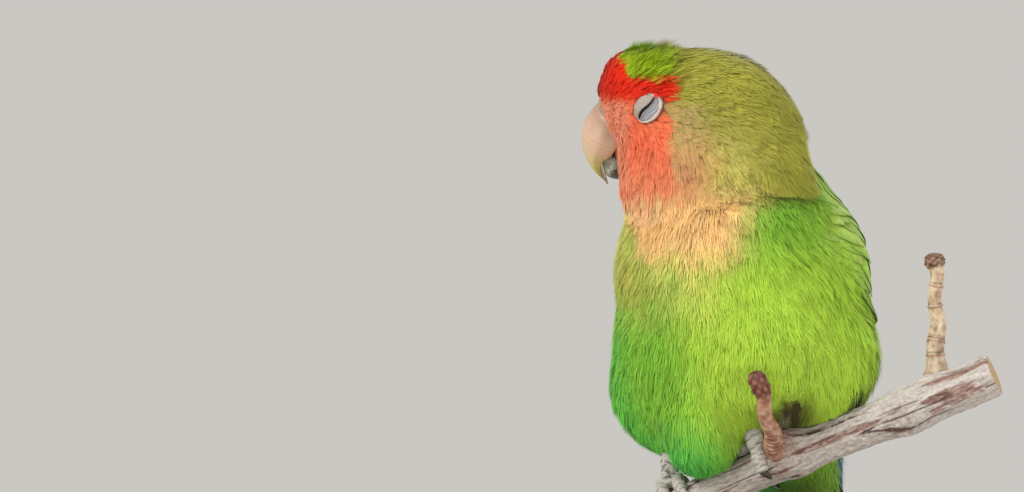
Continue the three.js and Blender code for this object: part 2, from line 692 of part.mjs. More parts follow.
// The stand: an oval base and two short rods up to the branch
function standBase() {
  const round = 1.6;
  const profile = [
    [0, 0],
    [BASE_RADII[0] - 0.8, 0],
    [BASE_RADII[0], 0.8],
    [BASE_RADII[0], BASE_THICKNESS - round],
    [BASE_RADII[0] - round * 0.3, BASE_THICKNESS - round * 0.3],
    [BASE_RADII[0] - round, BASE_THICKNESS],
    [0, BASE_THICKNESS],
  ].map(([x, y]) => new THREE.Vector2(x, y));
  const lathe = new THREE.LatheGeometry(profile, 36);
  lathe.rotateX(Math.PI / 2);
  lathe.scale(1, BASE_RADII[1] / BASE_RADII[0], 1);
  return solid(lathe);
}

function standRod(place) {
  const top = perch.at(place, 0, 0);
  const low = BASE_THICKNESS + GAP;
  const rod = new THREE.CylinderGeometry(ROD_RADIUS, ROD_RADIUS, top.z - low, 20);
  rod.rotateX(Math.PI / 2);
  rod.translate(top.x, top.y, (top.z + low) / 2);
  return solid(rod);
}

// The colours and finishes
const finish = (color, roughness, metalness = 0) =>
  new THREE.MeshStandardMaterial({ color, roughness, metalness });
const FINISHES = {
  crown: finish(0x9ab82a, 0.8),
  face: finish(0xe8714e, 0.8),
  green: finish(0x7fb52c, 0.8),
  wing: finish(0x5f9a24, 0.7),
  tail: finish(0x3f8a3a, 0.7),
  rump: finish(0x2f7fc4, 0.8),
  horn: finish(0xd9c59a, 0.4),
  cere: finish(0xb9a48f, 0.6),
  lid: finish(0xb4b2ae, 0.6),
  eye: finish(0x120c0a, 0.15),
  foot: finish(0xa9a39c, 0.7),
  claw: finish(0x5a5048, 0.4),
  bark: finish(0x8d8078, 0.9),
  wood: finish(0x4a3020, 0.5),
  brass: finish(0xb08d4a, 0.35, 1),
};

const bird = new THREE.Group();
function add(name, piece, material) {
  const mesh = piece.getMesh();
  const stride = mesh.numProp;
  const points = new Float32Array(mesh.numVert * 3);
  for (let i = 0; i < mesh.numVert; i++) {
    points.set(mesh.vertProperties.subarray(i * stride, i * stride + 3), i * 3);
  }
  const geometry = new THREE.BufferGeometry();
  geometry.setAttribute("position", new THREE.BufferAttribute(points, 3));
  geometry.setIndex(new THREE.BufferAttribute(mesh.triVerts, 1));
  geometry.computeVertexNormals();
  const node = new THREE.Mesh(geometry, FINISHES[material]);
  node.name = name;
  bird.add(node);
}

// Assembly
const BODY_COLUMNS = 28;
const BODY_ROWS = 30;
const ROWS_LOW = 1.3; // how much closer the rows lie near the belly than at the crown
const form = (level) =>
  roundForm(BODY_COLUMNS, BODY_ROWS, (around, along) =>
    bodyPoint((1 - along) ** ROWS_LOW, around * 360, level),
  );
const whole = form(0);

const branch = perchSolid();
const branchRoom = perchSolid(GAP);
const eyes = { left: eye(1), right: eye(-1) };
const upperRoom = billUpper(GAP);
const lowerRoom = billLower(GAP);
const tailFan = tailSolid();
const tailSpace = tailRoom();
const pockets = [wingPocket(1), wingPocket(-1)];

const feetRoom = [foot(FEET.left, 1, GAP), foot(FEET.right, -1, GAP)];

const plain = without(whole, branchRoom, ...pockets, ...feetRoom);
const [headSide, bodySide] = parted(plain, upright.at(-12, -4, 78), vec(-0.78, 0, 0.625));
const [neckPart, lowerBody] = parted(bodySide, upright.at(-4, 0, 61), vec(-0.1, -0.12, 1));
const [rumpPart, trunk] = parted(lowerBody, body.at(-17, 0, 8), body.along(-0.62, 0, -0.78));

const thighRoom = (side, grow) =>
  ellipsoid(body, [4, side * 12.5, 16], [13 + grow, 10.5 + grow, 15 + grow], 16, 10);
const headSolid = without(
  headSide,
  upperRoom,
  lowerRoom,
  cereBody(GAP),
  eyes.left.socket,
  eyes.right.socket,
);
add("head", largest(headSolid), "face");
add("neck", largest(neckPart), "crown");
add("torso", largest(without(trunk, thighRoom(1, GAP), thighRoom(-1, GAP), tailSpace)), "green");
add("rump", largest(rumpPart.subtract(tailSpace)), "rump");
for (const [name, side] of [["left", 1], ["right", -1]]) {
  add(`thigh_${name}`, largest(trunk.intersect(thighRoom(side, 0))), "green");
  add(`wing_${name}`, wing(side), "wing");
  add(`eyeball_${name}`, eyes[name].ball, "eye");
  add(`lid_upper_${name}`, eyes[name].upper, "lid");
  add(`lid_lower_${name}`, eyes[name].lower, "lid");
  const outer = side;
  const grip = foot(FEET[name], outer);
  add(`foot_${name}`, largest(grip.subtract(branchRoom)), "foot");
  for (const toe of TOES) {
    const nail = without(claw(FEET[name], toe, outer), branchRoom, grip);
    add(`claw_${name}_${toe.name}`, largest(nail), "claw");
  }
}
add("tail", tailFan, "tail");
add("cere", cere(), "cere");
add("bill_upper", billUpper(), "horn");
add("bill_lower", largest(billLower().subtract(upperRoom)), "horn");
add("perch", branch, "bark");
add("stand_base", standBase(), "wood");
ROD_PLACES.forEach((place, i) => {
  add(`stand_rod_${i + 1}`, largest(standRod(place).subtract(branchRoom)), "brass");
});

export default bird;
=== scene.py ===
"""A peach-faced lovebird asleep on a cut length of branch: its plumage, bill, feet, bark and stand.

Sizes are in millimetres until a mesh is made. The viewer looks along +Y, and the bill points along -X.
"""

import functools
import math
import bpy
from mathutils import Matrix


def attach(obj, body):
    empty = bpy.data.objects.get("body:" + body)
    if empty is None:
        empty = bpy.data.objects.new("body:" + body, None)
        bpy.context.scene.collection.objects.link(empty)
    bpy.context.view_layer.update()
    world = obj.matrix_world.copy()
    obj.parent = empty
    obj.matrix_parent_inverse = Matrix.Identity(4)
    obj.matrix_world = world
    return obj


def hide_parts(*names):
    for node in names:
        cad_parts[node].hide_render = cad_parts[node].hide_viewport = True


bl_info = {
    "name": "Lovebird on a branch",
    "version": (1, 0, 0),
    "blender": (4, 5, 0),
    "location": "View3D > Sidebar > Lovebird",
    "description": "Dresses the solids of a sleeping lovebird with plumage, horn, bark and a display stand",
    "category": "Add Mesh",
}

import bpy
import numpy as np

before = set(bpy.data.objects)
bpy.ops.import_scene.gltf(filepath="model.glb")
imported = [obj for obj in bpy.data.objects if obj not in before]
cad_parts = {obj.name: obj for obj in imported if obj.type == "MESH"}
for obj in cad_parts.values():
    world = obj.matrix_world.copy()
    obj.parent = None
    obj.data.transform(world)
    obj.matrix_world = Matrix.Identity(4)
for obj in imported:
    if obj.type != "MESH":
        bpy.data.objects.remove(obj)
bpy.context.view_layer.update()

MM = 0.001
BODY = "root"

# Driving sizes of the solids, in millimetres and degrees
PERCH_HEIGHT = 44
PERCH_SLOPE = 22.5
PERCH_TURN = 10
PERCH_REACH = (-36, 61)
PERCH_RADII = (3.8, 4.9)
PERCH_BEND = 0.5
BODY_BACK = 4
BODY_TURN = 35
HEAD_ROLL = 25
TAIL_LEAN = 28
TAIL_LENGTH = 48
WING_REACH = 36
FORM_BLEND = 2.4

# The photograph's middle column and row, its width and the branch's column and row, in its pixels
PHOTO_MIDDLE = (512, 246)
PHOTO_WIDTH = 1024
BRANCH_PIXEL = (745, 477)
PIXEL = 0.225  # millimetres
FRAME_WIDTH = PHOTO_WIDTH * PIXEL * MM
FRAME_CENTRE = (
    (PHOTO_MIDDLE[0] - BRANCH_PIXEL[0]) * PIXEL * MM,
    (PERCH_HEIGHT + (BRANCH_PIXEL[1] - PHOTO_MIDDLE[1]) * PIXEL) * MM,
)
CAMERA_DISTANCE = 2.5  # metres
FLOOR_RADIUS = 1600
SIGHT_LINE = np.arange(-45, 25, 0.3)  # depths that a search along the line of sight tries


def linear(hex_colour):
    """An sRGB hex value as linear red, green and blue."""
    shares = [int(hex_colour[i : i + 2], 16) / 255 for i in (1, 3, 5)]
    return tuple(s / 12.92 if s <= 0.04045 else ((s + 0.055) / 1.055) ** 2.4 for s in shares)


def length(name, description, millimetres):
    """A length property whose default is given in millimetres."""
    return bpy.props.FloatProperty(
        name=name, description=description, default=millimetres * MM, unit="LENGTH", precision=5
    )


def share(name, description, default):
    """A plain factor property."""
    return bpy.props.FloatProperty(name=name, description=description, default=default)


def tint(name, description, hex_colour):
    """A colour property whose default is given as an sRGB hex value."""
    return bpy.props.FloatVectorProperty(
        name=name, description=description, subtype="COLOR", size=3, default=linear(hex_colour)
    )


class LovebirdPlumage(bpy.types.PropertyGroup):
    """Depths, raggedness and colours of the feathers"""

    coat_depth: length("Coat depth", "From the skin out to the tips of the body's feathers", 1.9)
    face_depth: length("Face depth", "From the skin out to the feather tips on the face", 0.9)
    crest_lift: length("Crest lift", "How far the crown's feathers stand up at their tips", 2.3)
    raggedness: share("Raggedness", "How unevenly the barbs end, as a share of their length", 0.12)
    forehead: tint("Forehead", "Scarlet over the bill and the eye", "#f42c04")
    face: tint("Face", "Coral of the cheeks", "#fb7c52")
    lores: tint("Lores", "Paler feathers between bill and eye", "#f4a07c")
    throat: tint("Throat", "Salmon under the bill", "#fb9c70")
    apricot: tint("Upper breast", "Apricot band across the upper breast", "#ffd48c")
    peach: tint("Under the cheek", "Pale peach between cheek and breast", "#ffd2a4")
    straw: tint("Breast", "Straw yellow below the apricot", "#ece27c")
    crown: tint("Crown", "Bright yellow-green of the crown", "#abc810")
    nape: tint("Nape", "Olive yellow of the side of the neck", "#aeab40")
    ear: tint("Ear", "Tan olive behind the cheek", "#c8ac70")
    hind_neck: tint("Hind neck", "Green of the back of the neck", "#8fae30")
    flank: tint("Flank", "Bright green of the flanks", "#c2e84c")
    belly: tint("Belly", "Mid green of the lower breast", "#8ccc3c")
    vent: tint("Vent", "Cooler green low on the belly", "#58c44e")
    back: tint("Back", "Green of the mantle and the wing coverts", "#86bc38")
    rump: tint("Rump", "Blue of the rump", "#2f7fc8")
    quill: tint("Flight feathers", "Blue black of the wing tips", "#1d2633")
    down: tint("Down", "White down that shows where the coat parts", "#e2dfd6")
    # shaded is painted shade: dark olive laid into the coat's colour where the coat parts, under the tail
    # and on the hind neck
    shaded: tint("Painted shade", "Dark olive painted as shade where the coat parts, under the tail and on the hind neck", "#564e30")


class LovebirdBare(bpy.types.PropertyGroup):
    """Colours of the bill, the eyes and the feet"""

    horn_root: tint("Horn at the root", "Pink horn near the cere", "#d8b49a")
    horn_tip: tint("Horn at the tip", "Yellow green horn near the tip", "#c6bf6a")
    gape_and_shade: tint("Mouth", "Dark of the mouth's line, and shade painted on the lower bill's rear and sides", "#4a423c")
    cere: tint("Cere", "Grey beige skin at the bill's root", "#b09078")
    lid: tint("Upper lid", "Beige grey of the upper lid", "#b3a598")
    lid_low: tint("Lower lid", "Bluish grey of the lower lid", "#a3a5aa")
    ring: tint("Eye ring", "Whitish ring of bare skin", "#e4d4c2")
    foot: tint("Foot", "Pale grey scales", "#c2bdb4")
    claw: tint("Claw", "Dark horn of the claws", "#4c453f")


class LovebirdPerch(bpy.types.PropertyGroup):
    """Depth of the bark and colours of the branch and its twigs"""

    bark_depth: length("Bark depth", "From the ridges of the bark down into its cracks", 0.6)
    bark: tint("Bark", "Weathered grey of the branch", "#cfc5bd")
    crack: tint("Cracks", "Reddish brown layer where the bark has split", "#94685a")
    twig: tint("Twig", "Pinkish tan of the front twig", "#c89478")
    side_twig: tint("Side twig", "Paler tan of the upright twig", "#e4cba8")
    bud: tint("Buds", "Dark red brown scales", "#843f36")
    heart: tint("Cut wood", "Pale wood of the sawn ends", "#c9ab80")


class LovebirdStage(bpy.types.PropertyGroup):
    """Colours of the stand and the floor, and the lights' powers"""

    wood: tint("Base", "Dark walnut of the stand's base", "#4a2c1b")
    brass: tint("Rods", "Brass of the rods", "#c9a053")
    floor: tint("Floor", "Pale grey of the floor", "#d8d5d0")
    key: share("Key light", "Power of the large soft light, in watts", 14.0)
    fill: share("Fill light", "Power of the light on the shadow side, in watts", 5.0)
    rim: share("Rim light", "Power of the light from behind, in watts", 5.0)


class Place:
    """A point with three directions of its own, in millimetres."""

    def __init__(self, origin, *axes):
        self.origin = np.array(origin, float)
        self.axes = np.array(axes, float)

    def along(self, a, b, c):
        parts = [np.asarray(x, float)[..., None] * axis for x, axis in zip((a, b, c), self.axes)]
        return parts[0] + parts[1] + parts[2]

    def at(self, a, b, c):
        return self.origin + self.along(a, b, c)

    def read(self, points):
        """The three coordinates of points in this place."""
        return np.moveaxis((points - self.origin) @ self.axes.T, -1, 0)


def sine(degrees):
    """The sine of an angle in degrees."""
    return math.sin(math.radians(degrees))


def cosine(degrees):
    """The cosine of an angle in degrees."""
    return math.cos(math.radians(degrees))


UPRIGHT = Place((0, BODY_BACK, PERCH_HEIGHT), (1, 0, 0), (0, 1, 0), (0, 0, 1))
# forward, left, up
TRUNK = Place(
    UPRIGHT.at(-3.5, 0, 0),
    (-sine(BODY_TURN), -cosine(BODY_TURN), 0),
    (cosine(BODY_TURN), -sine(BODY_TURN), 0),
    (0, 0, 1),
)
# towards the bill, towards the crown, towards the left cheek
HEAD = Place(
    UPRIGHT.at(-19.3, -5, 85),
    (-1, 0, 0),
    (0, -sine(HEAD_ROLL), cosine(HEAD_ROLL)),
    (0, -cosine(HEAD_ROLL), -sine(HEAD_ROLL)),
)
# down the tail, to the left, out of the tail's upper side
TAIL = Place(
    TRUNK.at(-19, 1, 12),
    TRUNK.along(-sine(TAIL_LEAN), 0, -cosine(TAIL_LEAN)),
    TRUNK.along(0, 1, 0),
    TRUNK.along(-cosine(TAIL_LEAN), 0, sine(TAIL_LEAN)),
)
PERCH_ALONG = np.array(
    (cosine(PERCH_SLOPE) * cosine(PERCH_TURN), -cosine(PERCH_SLOPE) * sine(PERCH_TURN), sine(PERCH_SLOPE))
)
PERCH_FRONT = np.array((-sine(PERCH_TURN), -cosine(PERCH_TURN), 0))
# along the branch, to its front, out of its upper side
PERCH = Place((0, 0, PERCH_HEIGHT), PERCH_ALONG, PERCH_FRONT, np.cross(PERCH_FRONT, PERCH_ALONG))

# The plumage's outer form: a place, a centre, three radii and a backward lean for each rounded mass
MASSES = (
    (TRUNK, (-2, 0, 37), (23.4, 26.5, 28), 0),
    (TRUNK, (6, -1, 48), (17, 22, 18.5), 0),
    (TRUNK, (-11, 2, 47), (14, 24, 19), 0),
    (TRUNK, (4, 13, 26.5), (12, 12, 13), 0),
    (TRUNK, (3, -14, 19), (13, 12, 14), 0),
    (TRUNK, (-10, 15.3, 26), (14, 15.4, 17.5), 0),
    (TRUNK, (-9, -14.5, 25), (14, 14, 17), 0),
    (TRUNK, (9, -1.5, 12), (8.5, 8.5, 13), 0),
    (TRUNK, (-18, 1, 14), (10, 13, 18), 30),
    (TRUNK, (-25, 1, 2), (6, 10, 13), TAIL_LEAN),
    (UPRIGHT, (-5, -3, 70), (19.5, 16.5, 14), 0),
    (UPRIGHT, (0, 3, 61), (15.5, 13, 10), 0),
    (UPRIGHT, (-15, -6, 67), (13, 12, 12), 0),
    (UPRIGHT, (-3, -3, 79.2), (14.5, 14.5, 12.8), 0),
    (HEAD, (-8, -0.8, 0), (9.5, 8.6, 10.5), 0),
    (HEAD, (-2.2, 0.6, 0), (11.8, 11.5, 11.4), 0),
    (HEAD, (3.2, -1.2, 0), (10.1, 11.2, 6.2), 0),
    (HEAD, (-1.6, -8, 5), (7.8, 9, 7.2), 0),
    (HEAD, (-1.6, -8, -5), (7.8, 9, 7.2), 0),
    (HEAD, (1.2, -13, 0), (8.3, 7.5, 5.2), 0),
)
SPINE = np.array(
    [
        TRUNK.at(-26, 1, 0),
        TRUNK.at(-17, 1, 14),
        TRUNK.at(-8, 1, 30),
        TRUNK.at(-4, 0, 46),
        UPRIGHT.at(-6, -2, 62),
        UPRIGHT.at(-10, -4, 74),
        UPRIGHT.at(-12, -5, 83),
    ]
)
# A place in the photo's pixels, and how far round it and how high the coat stands out, in millimetres
FLUFF = (
    ((616, 58), 5.5, 1.6),
    ((598, 92), 3.5, 0.3),
    ((712, 60), 9, 2.3),
    ((746, 72), 8, 2.0),
    ((676, 48), 10, -2.6),
    ((620, 345), 14, 0.35),
    ((622, 300), 9, 0.3),
    ((616, 372), 10, 0.9),
    ((632, 412), 5, -3.0),
    ((646, 440), 5, -2.2),
    ((812, 166), 6, -2.0),
    ((820, 186), 8, -1.5),
    ((872, 322), 8, -1.0),
    ((776, 203), 8, 2.5),
    ((802, 200), 7, 2.0),
    ((750, 197), 7, 0.9),
    ((752, 384), 3.4, -1.2),
    ((790, 417), 5.5, -4.5),
    ((708, 486), 5, -2.2),
    ((812, 404), 4.0, 0.7),
    ((706, 462), 6, 0.8),
    ((741, 450), 6, 3.8),
    ((606, 112), 4, 1.0),
    ((612, 128), 3.5, 0.8),
)
# Soft patches of colour: which colour, a place in the photo's pixels, the size in millimetres, how much
# The shaded patches are painted shade under the tail and on the hind neck; the nape patch puts olive on the
# breast's left edge, partly as painted shade
SPOTS = (
    ("peach", (640, 209), 5, 0.75),
    ("nape", (628, 278), 7, 0.6),
    ("flank", (835, 226), 10, 0.8),
    ("straw", (722, 160), 7, 0.6),
    ("apricot", (692, 160), 5, 0.5),
    ("shaded", (800, 487), 8, 0.7),
    ("shaded", (716, 126), 6, 0.25),
)
# The photo's pixels where the grey down shows, the cheek ends, the coat parts and the wing tips show
GREY_PATCH = (730, 55)
CHEEK_CORNER = (688, 164)
HOLLOW = (790, 415)
WING_GAP = (860, 401)
HOLLOW_DEPTH = 3.5
# Where the body's grid turns in to its lower and its upper pole, as shares of its rise
CAP_LOW = 0.14
CAP_HIGH = 0.78


def mix(a, b, amount):
    """A value part way from one to another."""
    return a + (b - a) * amount


def between(a, b, amount):
    """A colour part way from one to another."""
    return tuple(mix(x, y, amount) for x, y in zip(a[:3], b[:3]))


def smooth(value, low, high):
    """A step from 0 at low to 1 at high along 3s² - 2s³; low may be the larger."""
    s = np.clip((value - low) / (high - low), 0, 1)
    return s * s * (3 - 2 * s)


def bell(distance, size):
    """exp(-(distance / size)²), 1 in the middle."""
    return np.exp(-((distance / size) ** 2))


def rounded(past, size):
    """A quarter of an ellipse: 1 up to the start of the rounding, falling to 0 at its size."""
    return np.sqrt(np.maximum(1 - (np.maximum(past, 0) / size) ** 2, 0))


def turns(count):
    """Angles once round, in radians."""
    return np.arange(count) / count * 2 * np.pi


def unit(vectors):
    """Vectors brought to length 1."""
    return vectors / (np.linalg.norm(vectors, axis=-1, keepdims=True) + 1e-12)


def noise(points):
    """Value noise from -1 to 1: hashed lattice values blended along each axis by 3s² - 2s³."""
    cell = np.floor(points).astype(np.int64)
    part = points - cell
    blend = part * part * (3 - 2 * part)
    total = 0
    for corner in np.ndindex(2, 2, 2):
        key = (cell + corner) @ np.array([73856093, 19349663, 83492791])
        hashed = np.sin((key % 100003) * 12.9898) * 43758.5453
        weight = np.prod(np.where(np.array(corner) == 1, blend, 1 - blend), axis=-1)
        total = total + weight * (hashed - np.floor(hashed))
    return total * 2 - 1


def plumage(points):
    """Distance to the plumage and its outward normal.

    Each mass has q, the length of its scaled coordinates, and lies (q² - q) / |slope of q²/2| away.
    The distances d are blended as -B ln of the sum of exp(-d / B).
    """
    total = np.full(points.shape[:-1], 1e-30)
    normal = np.zeros(points.shape)
    for place, centre, radii, lean in MASSES:
        a, b, c = place.axes
        axes = np.array([a * cosine(lean) - c * sine(lean), b, c * cosine(lean) + a * sine(lean)])
        scaled = (points - place.at(*centre)) @ axes.T / radii
        q = np.sqrt((scaled**2).sum(-1))
        slope = scaled / radii
        steep = np.sqrt((slope**2).sum(-1)) + 1e-9
        weight = np.exp(-np.clip(q * (q - 1) / steep, -60, 120) / FORM_BLEND)
        total += weight
        normal += (weight / steep)[..., None] * (slope @ axes)
    return -FORM_BLEND * np.log(total), unit(normal)


def through(knots, along):
    """Catmull-Rom curve through a list of points, at shares from 0 to 1."""
    ends = 2 * knots[:1] - knots[1:2], knots, 2 * knots[-1:] - knots[-2:-1]
    every = np.concatenate(ends)
    place = np.clip(along, 0, 1) * (len(knots) - 1)
    piece = np.minimum(np.floor(place).astype(int), len(knots) - 2)
    s = (place - piece)[..., None]
    p0, p1, p2, p3 = (every[piece + i] for i in range(4))
    out, back = 0.5 * (p2 - p0), 0.5 * (p3 - p1)
    cubic = 2 * p1 - 2 * p2 + out + back
    return p1 + s * (out + s * (-3 * p1 + 3 * p2 - 2 * out - back + s * cubic))


def spine(along):
    """A point on the body's middle line, by its share of the way from the first point to the last."""
    return through(SPINE, along)


def body_ray(rise, around):
    """The ray of the body's grid: an origin on the spine and a direction at the angle around it.

    Below CAP_LOW and above CAP_HIGH the origin stays and the direction tilts to the pole.
    """
    along = np.clip((rise - CAP_LOW) / (CAP_HIGH - CAP_LOW), 0, 1)
    origin = spine(along)
    up = unit(spine(along + 1e-4) - spine(along - 1e-4))
    left = TRUNK.axes[1] - up * (up @ TRUNK.axes[1])[..., None]
    left = unit(left)
    back = np.cross(up, left)
    below = np.minimum(rise / CAP_LOW - 1, 0)
    above = np.maximum((rise - CAP_HIGH) / (1 - CAP_HIGH), 0)
    tilt = np.radians(90 * (below + above))[..., None]
    angle = np.radians(around)[..., None]
    level = left * np.cos(angle) + back * np.sin(angle)
    return origin, level * np.cos(tilt) + up * np.sin(tilt)


def reach(origin, direction, level):
    """Distance along each ray to the plumage's surface at a level: marched out, then halved 14 times."""
    step = 1.2
    level = np.broadcast_to(np.asarray(level, float), direction.shape[:-1])
    origin = np.broadcast_to(origin, direction.shape)
    far = np.full(direction.shape[:-1], step)
    inside = np.ones(far.shape, bool)
    while inside.any():
        points = origin[inside] + direction[inside] * far[inside][:, None]
        still = plumage(points)[0] < level[inside]
        far[inside] += step * still
        inside[inside] = still
    low, high = far - step, far
    for _ in range(14):
        middle = (low + high) / 2
        within = plumage(origin + direction * middle[..., None])[0] < level
        low, high = np.where(within, middle, low), np.where(within, high, middle)
    return (low + high) / 2


@functools.cache
def seen_at(column, row):
    """The plumage's nearest point behind one of the photo's pixels."""
    across = (column - BRANCH_PIXEL[0]) * PIXEL
    rise = PERCH_HEIGHT + (BRANCH_PIXEL[1] - row) * PIXEL
    points = np.stack([across + 0 * SIGHT_LINE, SIGHT_LINE, rise + 0 * SIGHT_LINE], -1)
    value = plumage(points)[0]
    return points[np.argmax(value < 0) if (value < 0).any() else np.argmin(value)]


def near(points, pixel, size):
    """A bell exp(-d²/size²) about the plumage behind one of the photo's pixels."""
    return np.exp(-((points - seen_at(*pixel)) ** 2).sum(-1) / size**2)


def fluff(points):
    """How far the coat stands out from its smooth form: the sum of the bells at its places."""
    return sum(height * near(points, pixel, size) for pixel, size, height in FLUFF)


# Meshes from arrays
def grid_faces(rows, columns, around=False):
    """Quads between neighbouring points of a grid, with each corner's place from 0 to 1 across and along."""
    spans = columns if around else columns - 1
    r, c = np.meshgrid(np.arange(rows - 1), np.arange(spans), indexing="ij")
    corners = [(r, c), (r, c + 1), (r + 1, c + 1), (r + 1, c)]
    quads = np.stack([i * columns + j % columns for i, j in corners], -1).reshape(-1, 4)
    places = np.stack([np.stack([j / spans, i / (rows - 1)], -1) for i, j in corners], -2)
    return quads, places.reshape(-1, 4, 2)


def closed_faces(rows, columns):
    """Faces of a grid that wraps round, whose first and last rows are one point each."""
    quads, places = grid_faces(rows, columns, around=True)
    quads, places = quads.reshape(rows - 1, columns, 4), places.reshape(rows - 1, columns, 4, 2)
    low = quads[0][:, [0, 2, 3]]
    low[:, 0] = 0
    high = quads[-1][:, [0, 1, 2]]
    high[:, 2] = (rows - 1) * columns
    middle = quads[1:-1].reshape(-1, 4)
    marks = [places[0][:, [0, 2, 3]], places[1:-1].reshape(-1, 4, 2), places[-1][:, [0, 1, 2]]]
    return [low, middle, high], marks


def outward(points, faces):
    """Whether a closed shape's faces point out: the volume that their fans of triangles enclose."""
    volume = 0
    for face in faces:
        for i in range(1, face.shape[1] - 1):
            a, b, c = points[face[:, 0]], points[face[:, i]], points[face[:, i + 1]]
            volume += np.einsum("ij,ij->i", a, np.cross(b, c)).sum()
    return volume >= 0


class Shape:
    """Points, faces, face corners' places and named values of each point, ready to be one mesh."""

    def __init__(self, points, faces, places, **values):
        self.points = points
        self.faces = faces
        self.places = places
        self.values = values


def closed(points, **values):
    """A closed shape from a (rows, columns) grid that wraps round and ends in two poles.

    A value is one number or an array that numpy can spread over the grid.
    """
    rows, columns = points.shape[:2]
    flat = points.reshape(-1, 3).copy()
    flat[0], flat[-columns] = points[0].mean(0), points[-1].mean(0)
    faces, places = closed_faces(rows, columns)
    if not outward(flat - flat.mean(0), faces):
        faces = [face[:, ::-1] for face in faces]
        places = [place[:, ::-1] for place in places]
    kept = np.concatenate([[0], np.arange(columns, (rows - 1) * columns), [(rows - 1) * columns]])
    order = np.zeros(rows * columns, int)
    order[kept] = np.arange(len(kept))
    faces = [order[face] for face in faces]
    for name, value in values.items():
        wide = np.broadcast_to(value, points.shape if np.ndim(value) == 3 else (rows, columns))
        values[name] = wide.reshape(rows * columns, -1)[kept]
    return Shape(flat[kept], faces, places, **values)


def slabs(upper, lower, **values):
    """Closed thin slabs from two (count, rows, columns) grids, one over the other.

    Each slab is the upper grid, the lower one turned over, and a rim of quads between their edges.
    """
    count, rows, columns = upper.shape[:3]
    size = rows * columns
    quads, places = grid_faces(rows, columns)
    index = np.arange(size).reshape(rows, columns)
    ring = np.concatenate([index[0], index[1:, -1], index[-1, -2::-1], index[-2:0:-1, 0]])
    after = np.roll(ring, -1)
    rim = np.stack([after, ring, ring + size, after + size], -1)
    spots = np.stack([index % columns / (columns - 1), index // columns / (rows - 1)], -1).reshape(-1, 2)
    rim_places = np.stack([spots[after], spots[ring], spots[ring], spots[after]], 1)
    faces = np.concatenate([quads, quads[:, ::-1] + size, rim])
    marks = np.concatenate([places, places[:, ::-1], rim_places])
    points = np.stack([upper, lower], 1).reshape(count, 2 * size, 3)
    if not outward(points[0] - points[0].mean(0), [faces]):
        faces, marks = faces[:, ::-1], marks[:, ::-1]
    shift = (np.arange(count) * 2 * size)[:, None, None]
    every = (faces[None] + shift).reshape(-1, 4)
    for name, value in values.items():
        twice = np.stack([np.broadcast_to(value, upper.shape[:3])] * 2, 1)
        values[name] = twice.reshape(count * 2 * size, 1)
    return Shape(points.reshape(-1, 3), [every], [np.tile(marks, (count, 1, 1))], **values)


def joined(shapes):
    """Several shapes as one."""
    start = np.cumsum([0] + [len(shape.points) for shape in shapes])
    faces = [face + start[i] for i, shape in enumerate(shapes) for face in shape.faces]
    places = [place for shape in shapes for place in shape.places]
    names = shapes[0].values
    values = {name: np.concatenate([shape.values[name] for shape in shapes]) for name in names}
    return Shape(np.concatenate([shape.points for shape in shapes]), faces, places, **values)


def ball_outline(rows, columns):
    """A unit ball's points (sin v cos w, sin v sin w, cos v) on a grid that closed() can take."""
    v = np.linspace(0, 1, rows)[:, None] * np.pi
    w = turns(columns)
    return np.stack([np.sin(v) * np.cos(w), np.sin(v) * np.sin(w), np.cos(v) + 0 * w], -1)


def build(name, shape, material, map_name="Pattern", soft=True):
    """Puts a shape into a mesh object at the origin."""
    mesh = bpy.data.meshes.new(name)
    corners = np.concatenate([face.ravel() for face in shape.faces])
    sides = np.concatenate([np.full(len(face), face.shape[1]) for face in shape.faces])
    mesh.vertices.add(len(shape.points))
    mesh.vertices.foreach_set("co", (shape.points * MM).astype(np.float32).ravel())
    mesh.loops.add(len(corners))
    mesh.loops.foreach_set("vertex_index", corners.astype(np.int32))
    mesh.polygons.add(len(sides))
    starts = np.concatenate([[0], np.cumsum(sides)[:-1]])
    mesh.polygons.foreach_set("loop_start", starts.astype(np.int32))
    mesh.update(calc_edges=True)
    layer = mesh.uv_layers.new(name=map_name)
    spots = np.concatenate([place.reshape(-1, 2) for place in shape.places])
    layer.uv.foreach_set("vector", spots.astype(np.float32).ravel())
    for key, value in shape.values.items():
        wide = value.shape[1] == 3
        held = mesh.attributes.new(key, "FLOAT_COLOR" if wide else "FLOAT", "POINT")
        if wide:
            value = np.concatenate([value, np.ones((len(value), 1))], 1)
        held.data.foreach_set("color" if wide else "value", value.astype(np.float32).ravel())
    mesh.validate()
    mesh.polygons.foreach_set("use_smooth", np.full(len(mesh.polygons), soft))
    mesh.materials.append(material)
    piece = bpy.data.objects.new(name, mesh)
    bpy.context.scene.collection.objects.link(piece)
    return piece


def add_piece(name, shape, material, replaces=(), map_name="Pattern"):
    """A shape as a piece that rides on the one body."""
    piece = build(name, shape, material, map_name)
    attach(piece, BODY)
    if replaces:
        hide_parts(*replaces)


# Materials
NOISE_SPAN = {"From Min": 0.3, "From Max": 0.7}  # where most of a noise texture's values lie
# Inputs and output of a mix of two colours
AMOUNT, COLOUR_A, COLOUR_B, MIXED = 0, 6, 7, 2


def opaque(colour):
    """A colour with an alpha of 1."""
    return (*colour[:3], 1.0)


def grey(value):
    """A grey as red, green and blue."""
    return (value, value, value)


def node(tree, kind, inputs=None, stops=(), **settings):
    """Adds a shader node with its inputs, its colour ramp's stops and its own settings.

    An input is a plain value or a (node, output) pair to link. A stop is a position and a colour.
    """
    made = tree.nodes.new("ShaderNode" + kind)
    for name, value in settings.items():
        setattr(made, name, value)
    for name, value in (inputs or {}).items():
        if isinstance(value, tuple) and isinstance(value[0], bpy.types.Node):
            tree.links.new(value[0].outputs[value[1]], made.inputs[name])
        else:
            made.inputs[name].default_value = value
    for _ in stops[2:]:
        made.color_ramp.elements.new(0.5)
    for i, (position, colour) in enumerate(stops):
        made.color_ramp.elements[i].position = position
        made.color_ramp.elements[i].color = opaque(colour)
    return made


